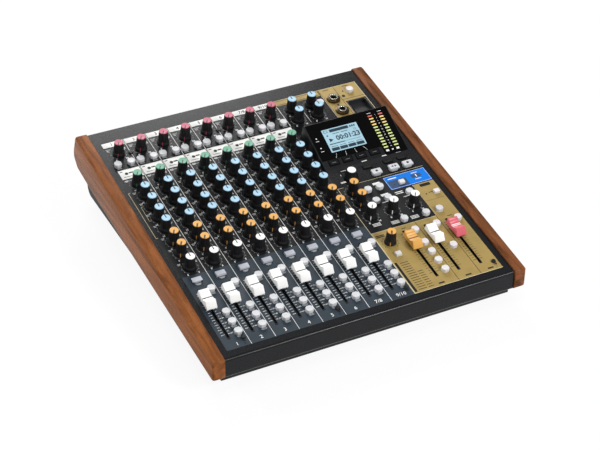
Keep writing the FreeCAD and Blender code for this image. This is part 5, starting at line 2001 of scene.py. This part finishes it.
@dataclass
class DisplayHousing(Assembly):
    """The wedge-shaped housing with its window, display, meters and soft keys."""

    front: float = 203.0
    step: float = 2.0
    tilt: float = 17.5
    slant: float = 61.0
    back_run: float = 4.4
    margin_left: float = 0.2
    margin_right: float = 0.6
    window_margin: float = 1.4
    window_start: float = 13.0
    window_step: float = 72.2
    lcd_middle: Pair = (37.3, 35.3)
    lcd_size: Pair = (42.0, 29.0)
    meter_columns: Pair = (76.5, 88.9)
    meter_start: float = 10.9
    meter_pitch: float = 3.76
    meter_labels: tuple[str, ...] = ("60", "50", "40", "35", "30", "25", "20", "15", "10", "6",
                                     "3", "0")

    @property
    def sides(self) -> Pair:
        """Gives the housing's left and right sides on the panel."""
        layout = self.layout
        return layout.master(self.margin_left), layout.left(layout.strips) - self.margin_right

    @property
    def top(self) -> WorkFrame:
        """Gives the housing's sloping face, with its y up from the front edge."""
        return self.face.tipped((0.0, self.front, self.step), self.tilt)

    def build(self) -> None:
        """Makes the housing and what stands in its face."""
        self.housing()
        self.window()
        self.screen()
        self.lamps()
        self.soft_keys()

    def housing(self) -> None:
        """Makes the wedge, with every outer edge rounded."""
        turn = math.radians(self.tilt)
        back = self.front + self.slant * math.cos(turn)
        rise = self.step + self.slant * math.sin(turn)
        outline = rounded([(self.front - 2.6, 0.0), (self.front + 1.2, self.step + 0.38),
                           (back, rise), (back + self.back_run, 0.0)], [0.0, 6.0, 1.2, 0.0], 6)
        left, right = self.sides
        piece = Piece("display_housing", "bezel_plastic", replaces=("display_bezel",))
        piece.add(across(outline, left, right, (0.8, 0.8)), Finishes.bezel)
        piece.finish(self.face)

    def window(self) -> None:
        """Makes the glossy window, notched for the soft keys, just proud of the face."""
        left, right = self.sides
        left, right = left + self.window_margin, right - self.window_margin
        inside = self.layout.master(self.window_step)
        near, far, low = self.window_start, self.slant - self.window_margin, self.window_margin
        outline = rounded([(left, near), (inside, near), (inside, low), (right, low),
                           (right, far), (left, far)], [0.8] * 6, 4)
        piece = Piece("display_window_dressed", "window_gloss", replaces=("display_window",))
        piece.add(prism(outline, -1.0, 0.12), Finishes.window)
        piece.finish(self.top)

    def screen(self) -> None:
        """Makes the display, with a plain time counter, bars and boxes on it."""
        width, depth = self.lcd_size
        x, y = self.layout.master(self.lcd_middle[0]), self.lcd_middle[1]
        piece = Piece("lcd_screen", "lcd_glass", replaces=("lcd_module",))
        glass = soft_block(rectangle(width, depth, 0.5, 3), -2.6, 0.2, 0.08, 1)
        piece.add(moved(glass, Spot(x, y)), Finishes.lcd)
        sheet = PrintSheet(piece, self.rules, Finishes.lcd_mark, 0.2, 0.05)
        left, low = x - width / 2.0, y - depth / 2.0
        sheet.frame(left + 1.6, left + 6.2, low + 24.6, low + 27.6, 0.4)
        sheet.field(left + 8.6, left + 31.0, low + 24.2, low + 27.8, 0.3)
        sheet.bars(1.6, 2.2, [Spot(left + 33.4 + 2.4 * n, low + 26.0) for n in range(3)])
        sheet.bars(8.0, 0.6, [Spot(left + 14.4, low + 21.8), Spot(left + 24.6, low + 21.8)])
        sheet.bars(1.6, 1.8, [Spot(left + 4.0, low + 20.8)])
        sheet.numbers("12", 2.6, [Spot(left + 37.0, low + 21.6)])
        sheet.numbers("00:01:23", 5.8, [Spot(left + 26.6, low + 15.6)], 0.22)
        sheet.plate([(left + 4.2, low + 12.6), (left + 8.8, low + 15.0), (left + 4.2, low + 17.4)])
        sheet.field(left + 2.0, left + 20.0, low + 9.4, low + 10.4)
        sheet.field(left + 20.0, left + width - 3.0, low + 9.8, low + 10.1)
        for n in range(4):
            start = left + 1.4 + n * (width - 2.8) / 4.0
            sheet.field(start + 0.5, start + 9.4, low + 1.4, low + 5.2, 0.4)
            sheet.bars(7.4, 0.5, [Spot(start + 5.0, low + 6.8)])
        piece.finish(self.top)

    def lamps(self) -> None:
        """Makes the bars of the two meters, their scale, and the small signal lamps."""
        layout = self.layout
        piece = Piece("lamps_dressed", "lens", replaces=("led_lenses",))
        bar = rectangle(5.0, 1.7, 0.3, 2)
        kinds = [Finishes.lamp_green] * 8 + [Finishes.lamp_amber] * 3 + [Finishes.lamp_red]
        for finish in (Finishes.lamp_green, Finishes.lamp_amber, Finishes.lamp_red):
            rows = [n for n, kind in enumerate(kinds) if kind == finish]
            spots = [Spot(layout.master(x), self.meter_start + n * self.meter_pitch)
                     for x in self.meter_columns for n in rows]
            shape = soft_block(bar, -0.2, 0.42, 0.12, 2)
            self.stamp(piece, shape, finish, spots)
        lamp = lathe([(0.0, 0.0), (0.9, 0.0), (0.9, 0.25), (0.6, 0.45), (0.0, 0.5)], 16, 60.0)
        on_panel = []
        for n in range(layout.channels):
            on_panel += [Spot(layout.left(n) + 22.4, 192.5), Spot(layout.left(n) + 19.6, 99.5)]
        on_panel += [Spot(layout.master(83.4), 136.0), Spot(layout.master(59.1), 161.4),
                     Spot(layout.master(80.9), 322.0)]
        mesh = self.rules.stamp.repeat(lamp, Finishes.lamp_off, on_panel)
        mesh.transform(self.top.matrix.inverted() @ self.face.matrix)
        piece.add(mesh, Finishes.lamp_off)
        piece.finish(self.top)
        self.meter_scale()

    def meter_scale(self) -> None:
        """Prints the meter's numbers and the lines that lead to the soft keys."""
        layout = self.layout
        piece = Piece("print_display_lines", "panel_paint")
        sheet = PrintSheet(piece, self.rules, Finishes.white, 0.1, 0.06)
        columns = [layout.master(x) for x in self.meter_columns]
        middle = sum(columns) / 2.0
        for n, label in enumerate(self.meter_labels):
            sheet.numbers(label, 1.3, [Spot(middle, self.meter_start + n * self.meter_pitch)])
        for x in columns:
            sheet.field(x - 1.7, x + 1.7, 5.3, 7.7, 0.3)
            sheet.bars(4.6, 0.5, [Spot(x, 55.8)])
        sheet.field(middle - 1.0, middle + 1.0, 5.8, 7.2, 0.2)
        for n in range(4):
            low, high = (layout.master(36.9 + (n - 1.5) * step) for step in (12.4, 10.6))
            sheet.plate([(low - 0.14, 13.7), (low + 0.14, 13.7), (high + 0.14, 19.0),
                         (high - 0.14, 19.0)])
        sheet.dots(0.75, [Spot(layout.master(7.2), y) for y in (29.2, 41.5)])
        sheet.bars(3.4, 0.6, [Spot(layout.master(7.2), y) for y in (24.9, 38.1)])
        sheet.finish(self.top)

    def soft_keys(self) -> None:
        """Makes the four low keys in front of the window, with painted shade round each and a
        painted highlight across it.
        """
        keys = Keys(self.layout, self.rules)
        spots = [Spot(self.layout.master(13.2 + 16.1 * n), 8.7) for n in range(4)]
        piece = Piece("soft_keys", "key_plastic")
        keys.add(piece, KeyShape.SOFT, Finishes.key_dark, spots)
        # A near-black ring under each soft key is painted shade for the gap round it; the white
        # bars after it are the shade keys' labels.
        sheet = PrintSheet(piece, self.rules, Finishes.window, 0.0, 0.1)
        sheet.bars(12.4, 7.2, spots)
        sheet.ink = Finishes.white
        sheet.bars(6.0, 0.9, [Spot(self.layout.master(x), 1.6) for x in (45.8, 70.3, 86.9)])
        # A pale line across each soft key's top: a painted highlight.
        lines = PrintSheet(piece, self.rules, Finishes.scale, KeyShape.SOFT.value[2] - 0.1, 0.14)
        lines.bars(4.8, 0.35, spots)
        piece.finish(self.top)


# Sockets

@dataclass
class Sockets(Assembly):
    """The headphone jacks on the panel and the sockets in the rear panel."""

    bore: float = 3.2
    rear_upper: float = -23.0
    flange: Pair = (24.0, 28.0)
    recess: float = 9.6

    @property
    def rear(self) -> WorkFrame:
        """Gives the rear panel's face. Its x runs to the left and its y up."""
        return self.face.tipped((0.0, self.layout.length, 0.0), -90.0, half_turn=True)

    def columns(self) -> list[float]:
        """Gives the x of each strip's middle, as the rear face counts it."""
        first = self.layout.place("ch1_trim_knob")[0]
        return [-(first + n * self.layout.pitch) for n in range(self.layout.strips)]

    def build(self) -> None:
        """Makes the jacks and sockets, and finishes the card well and the panel's screws."""
        self.headphones()
        self.card_floor()
        self.screw_recess_shades()
        self.inputs()
        self.outputs()

    def headphones(self) -> None:
        """Turns the two headphone jacks: a blackened nut round a bright threaded collar."""
        x, rows = self.layout.jacks()
        spots = [Spot(x, y) for y in rows]
        nut = lathe([(4.9, 0.0), (7.6, 0.0), (7.6, 1.5), (7.3, 2.2), (6.6, 2.6), (5.4, 2.6),
                     (4.9, 2.2)], 40, 30.0, loop=True)
        collar = lathe([(self.bore, -8.0), (5.0, -8.0), (5.0, 3.7), (4.6, 4.0), (3.9, 4.0),
                        (self.bore, 3.4)], 40, 30.0, loop=True)
        floor = lathe([(0.0, -8.0), (3.4, -8.0), (3.4, -6.8), (0.0, -6.8)], 24)
        piece = Piece("phones_jacks_dressed", "plated", replaces=("phones_jacks",))
        for shape, finish in ((nut, Finishes.bronze), (collar, Finishes.chrome),
                              (floor, Finishes.socket)):
            self.stamp(piece, shape, finish, spots)
        piece.finish(self.face)

    def card_floor(self) -> None:
        """Lays the grey plate on the card well's floor, cut out for the card's slot."""
        low, high = self.face.box(self.layout.nodes["card_slot"])
        rim, depth, inset = 2.9, 6.0, 1.6
        width, length = high.x - low.x - 2.0 * rim, high.y - low.y - 2.0 * rim
        slot = [(x - width / 2.0 + inset + 1.9, y) for x, y in rectangle(2.8, 25.0)]
        plate = cut_plate(rectangle(width, length, 1.2), [slot], -depth, 0.25 - depth)
        piece = Piece("card_well_floor", "socket_plastic")
        piece.add(moved(plate, Spot((low.x + high.x) / 2.0, (low.y + high.y) / 2.0)),
                  Finishes.floor_plate)
        piece.finish(self.face)

    def screw_recess_shades(self) -> None:
        """Makes the dark crosses in the heads of the panel's screws, painted shade for their cross
        recesses.
        """
        layout, crown = self.layout, 1.7
        front, rear = layout.slot_ends[0] - 9.0, layout.place("ch1_trim_knob")[1] - 2.5
        spots = [(layout.left(n) + 20.8, front) for n in (0, 4, 7)]
        spots += [(layout.left(layout.strips) - 4.6, front)]
        spots += [(layout.left(n), rear) for n in (1, 5)]
        piece = Piece("panel_screw_crosses", "bare_metal")
        for turn in (20.0, 110.0):
            arm = prism(rectangle(2.5, 0.55), crown - 0.3, crown + 0.02 + turn / 5000.0)
            places = [Spot(x, y, turn=turn) for x, y in spots]
            self.stamp(piece, arm, Finishes.black, places)
        piece.finish(self.face)

    def inputs(self) -> None:
        """Makes the eight combination inputs, each with a jack hole, and black discs for its
        contact holes that are painted shade.
        """
        piece = Piece("input_sockets_dressed", "socket_plastic", replaces=("input_sockets",))
        spots = [Spot(x, self.rear_upper) for x in self.columns()[:self.layout.channels]]
        self.ring_socket(piece, spots, depth=13.0)
        insert = lathe([(self.bore, -12.6), (8.9, -12.6), (8.9, 0.4), (8.5, 0.8),
                        (self.bore + 0.5, 0.8), (self.bore, 0.3)], 40, 30.0, loop=True)
        self.stamp(piece, insert, Finishes.socket, spots)
        # Black discs where the contact holes are: painted shade in the holes.
        holes = ring_of(spots, 6.1, (90, 210, 330))
        ring = lathe([(0.0, 0.3), (1.25, 0.3), (1.25, 0.95), (0.0, 0.95)], 16)
        self.stamp(piece, ring, Finishes.black, holes)
        tab = soft_block(rectangle(5.0, 2.4, 0.5, 3), 0.0, 2.6, 0.4, 2)
        tabs = [Spot(spot.x, spot.y + 12.0) for spot in spots]
        self.stamp(piece, tab, Finishes.steel, tabs)
        piece.finish(self.rear)

    def ring_socket(self, piece: Piece, spots: Sequence[Spot], depth: float) -> None:
        """Adds the flange, rim and screws of a round socket at every spot.

        Args:
            piece: The piece.
            spots: The sockets' middles.
            depth: How far the recess goes in.
        """
        width, height = self.flange
        hole = self.recess + 0.9
        outline = rectangle(width, height, 3.0, 6)
        plate = cut_plate(outline, [polygon(hole, 48)], 0.0, 1.6)
        rim = lathe([(self.recess, -depth), (hole + 0.4, -depth), (hole + 0.4, 1.9),
                     (hole, 2.3), (self.recess + 0.3, 2.3), (self.recess, 1.9)], 48, 30.0,
                    loop=True)
        floor = lathe([(0.0, -depth - 0.8), (hole, -depth - 0.8), (hole, -depth),
                       (0.0, -depth)], 40)
        for shape in (plate, rim, floor):
            self.stamp(piece, shape, Finishes.socket, spots)
        reach = width / 2.0 - 2.9, height / 2.0 - 2.9
        screws = [Spot(spot.x + side * reach[0], spot.y - side * reach[1], 1.6, 35.0 * side)
                  for spot in spots for side in (-1, 1)]
        for shape, finish in screw_head(1.9, 0.9):
            self.stamp(piece, shape, finish, screws)

    def outputs(self) -> None:
        """Makes the two three-pin outputs."""
        piece = Piece("output_sockets_dressed", "socket_plastic", replaces=("output_sockets",))
        channels = self.layout.channels
        spots = [Spot(x, self.rear_upper) for x in self.columns()[channels:channels + 2]]
        self.ring_socket(piece, spots, depth=16.0)
        pins = ring_of(spots, 3.8, (30, 150, 270))
        pin = lathe([(0.0, -16.0), (1.2, -16.0), (1.2, -4.6), (0.8, -4.0), (0.0, -3.8)], 16, 40.0)
        self.stamp(piece, pin, Finishes.contact, pins)
        piece.finish(self.rear)


def ring_of(spots: Sequence[Spot], radius: float, angles: Sequence[float]) -> list[Spot]:
    """Gives the places at some angles, in degrees, on a circle round every spot.

    Args:
        spots: The circles' middles.
        radius: Their radius.
        angles: The angles.

    Returns:
        The spots on the circles.
    """
    turns = [math.radians(angle) for angle in angles]
    return [Spot(spot.x + radius * math.cos(turn), spot.y + radius * math.sin(turn))
            for spot in spots for turn in turns]


def screw_head(radius: float, height: float) -> list[tuple[Mesh, Finish]]:
    """Makes a cross-head screw's head: a domed disc, and a dark cross in it that is painted shade
    for its recess.

    Args:
        radius: The head's radius.
        height: Its height.

    Returns:
        Each mesh with its finish.
    """
    dome = lathe([(0.0, 0.0), (radius, 0.0), (radius, height * 0.35), (radius * 0.8, height * 0.8),
                  (radius * 0.45, height), (0.0, height)], 20, 60.0)
    painted_recess_shade = [prism(rectangle(radius * 1.1, radius * 0.24), height * 0.6, height + 0.02),
            prism(rectangle(radius * 0.24, radius * 1.1), height * 0.6, height + 0.03)]
    return [(dome, Finishes.zinc)] + [(arm, Finishes.black) for arm in painted_recess_shade]


# Studio

@dataclass
class Studio:
    """A pale floor, soft light and a camera at the photograph's viewing angle.

    Attributes:
        face: The sloping panel.
        eye: The camera's place, on the panel's frame.
        aim: The panel place that the camera looks at.
        roll: How far the camera leans to the right, in degrees.
        lens: The focal length for a sensor 36 mm wide.
    """

    face: WorkFrame
    eye: tuple[float, float, float] = (-517.9, -1015.7, 1208.2)
    aim: tuple[float, float, float] = (148.3, 142.0, 0.0)
    roll: float = 0.86
    lens: float = 106.8

    def build(self) -> None:
        """Makes the camera, the lights and the floor."""
        self.camera()
        self.lights()
        self.floor()

    def camera(self) -> None:
        """Stands the camera where the photograph was taken from."""
        data = bpy.data.cameras.new("camera")
        data.lens = self.lens
        data.clip_end = 20.0
        eye = self.face.matrix @ Vector(self.eye)
        aim = self.face.matrix @ Vector(self.aim)
        turn = (aim - eye).to_track_quat("-Z", "Y").to_matrix().to_4x4()
        roll = Matrix.Rotation(math.radians(self.roll), 4, "Z")
        camera = stand("camera", data)
        camera.matrix_world = Matrix.Translation(eye) @ turn @ roll
        bpy.context.scene.camera = camera

    def softbox(self, name: str, place: tuple[float, float, float], size: Pair,
                watts: float) -> None:
        """Adds a soft area lamp that faces the mixer.

        Args:
            name: The lamp's name.
            place: Where it stands, in metres.
            size: Its width and height, in metres.
            watts: Its strength.
        """
        data = bpy.data.lights.new(name, "AREA")
        data.shape = "RECTANGLE"
        data.size, data.size_y = size
        data.energy = watts
        aim = (Vector((0.0, 0.0, 0.05)) - Vector(place)).to_track_quat("-Z", "Y")
        lamp = stand(name, data)
        lamp.matrix_world = Matrix.Translation(place) @ aim.to_matrix().to_4x4()

    def lights(self) -> None:
        """Adds a rear strip light, a small front key, a left rim light, a top fill and a sky."""
        self.softbox("rear_strip", (0.34, 1.8, 1.3), (1.2, 0.7), 30.0)
        self.softbox("front_key", (0.85, -1.6, 1.3), (0.6, 0.7), 32.0)
        self.softbox("left_rim", (-1.4, 1.1, 0.72), (0.16, 0.16), 12.0)
        self.softbox("top_fill", (-0.5, -0.3, 2.2), (1.2, 1.2), 12.0)
        world = bpy.data.worlds.new("even_sky")
        bpy.context.scene.world = world
        world.use_nodes = True
        tree = world.node_tree
        tree.nodes.clear()
        sky = add_node(tree, "ShaderNodeBackground", {"Color": linear("#ffffff"), "Strength": 0.33})
        add_node(tree, "ShaderNodeOutputWorld", {"Surface": sky.outputs[0]})

    def floor(self) -> None:
        """Lays a wide white floor that keeps a faint shadow."""
        bm = bmesh.new()
        bmesh.ops.create_circle(bm, cap_ends=True, segments=64, radius=8.0)
        mesh = bpy.data.meshes.new("floor")
        bm.to_mesh(mesh)
        bm.free()
        material = bpy.data.materials.new("white_paper_floor")
        material.use_nodes = True
        tree = material.node_tree
        tree.nodes.clear()
        paper = add_node(tree, "ShaderNodeBsdfDiffuse", {"Color": linear("#f4f4f4")})
        glow = add_node(tree, "ShaderNodeEmission", {"Color": linear("#ffffff"), "Strength": 1.0})
        path = add_node(tree, "ShaderNodeLightPath").outputs
        mirrored = add_node(tree, "ShaderNodeMath", {0: path["Is Glossy Ray"],
                                                     1: path["Is Transmission Ray"]},
                            operation="MAXIMUM")
        seen = add_node(tree, "ShaderNodeMath", {0: path["Is Camera Ray"],
                                                 1: mirrored.outputs[0]}, operation="MAXIMUM")
        share = add_node(tree, "ShaderNodeMath", {0: seen.outputs[0], 1: 0.9}, operation="MULTIPLY")
        mix = add_node(tree, "ShaderNodeMixShader", {0: share.outputs[0], 1: paper.outputs[0],
                                                     2: glow.outputs[0]})
        add_node(tree, "ShaderNodeOutputMaterial", {"Surface": mix.outputs[0]})
        mesh.materials.append(material)
        floor = stand("floor", mesh)


def build_mixer(frame: dict) -> None:
    """Builds every sub-assembly in order.
    """
    face = panel_frame(frame["joints"])
    layout = Layout.read(face, frame["nodes"])
    LOG.info("strips %.2f mm apart on a panel of %.0f by %.0f mm", layout.pitch, layout.width,
             layout.length)
    Studio(face).build()
    rules = Rules()
    for kind in (PanelPrint, MasterPrint, Knobs, Keys, Faders, DisplayHousing, Sockets, Shell):
        LOG.info("building %s", kind.__name__)
        kind(layout, rules).build()


def main() -> None:
    """Loads the model and dresses it."""
    logging.basicConfig(level=logging.INFO, format="%(name)s: %(message)s")
    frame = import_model()
    bpy.context.scene.view_settings.view_transform = "Standard"
    build_mixer(frame)


if __name__ == "__main__":
    main()
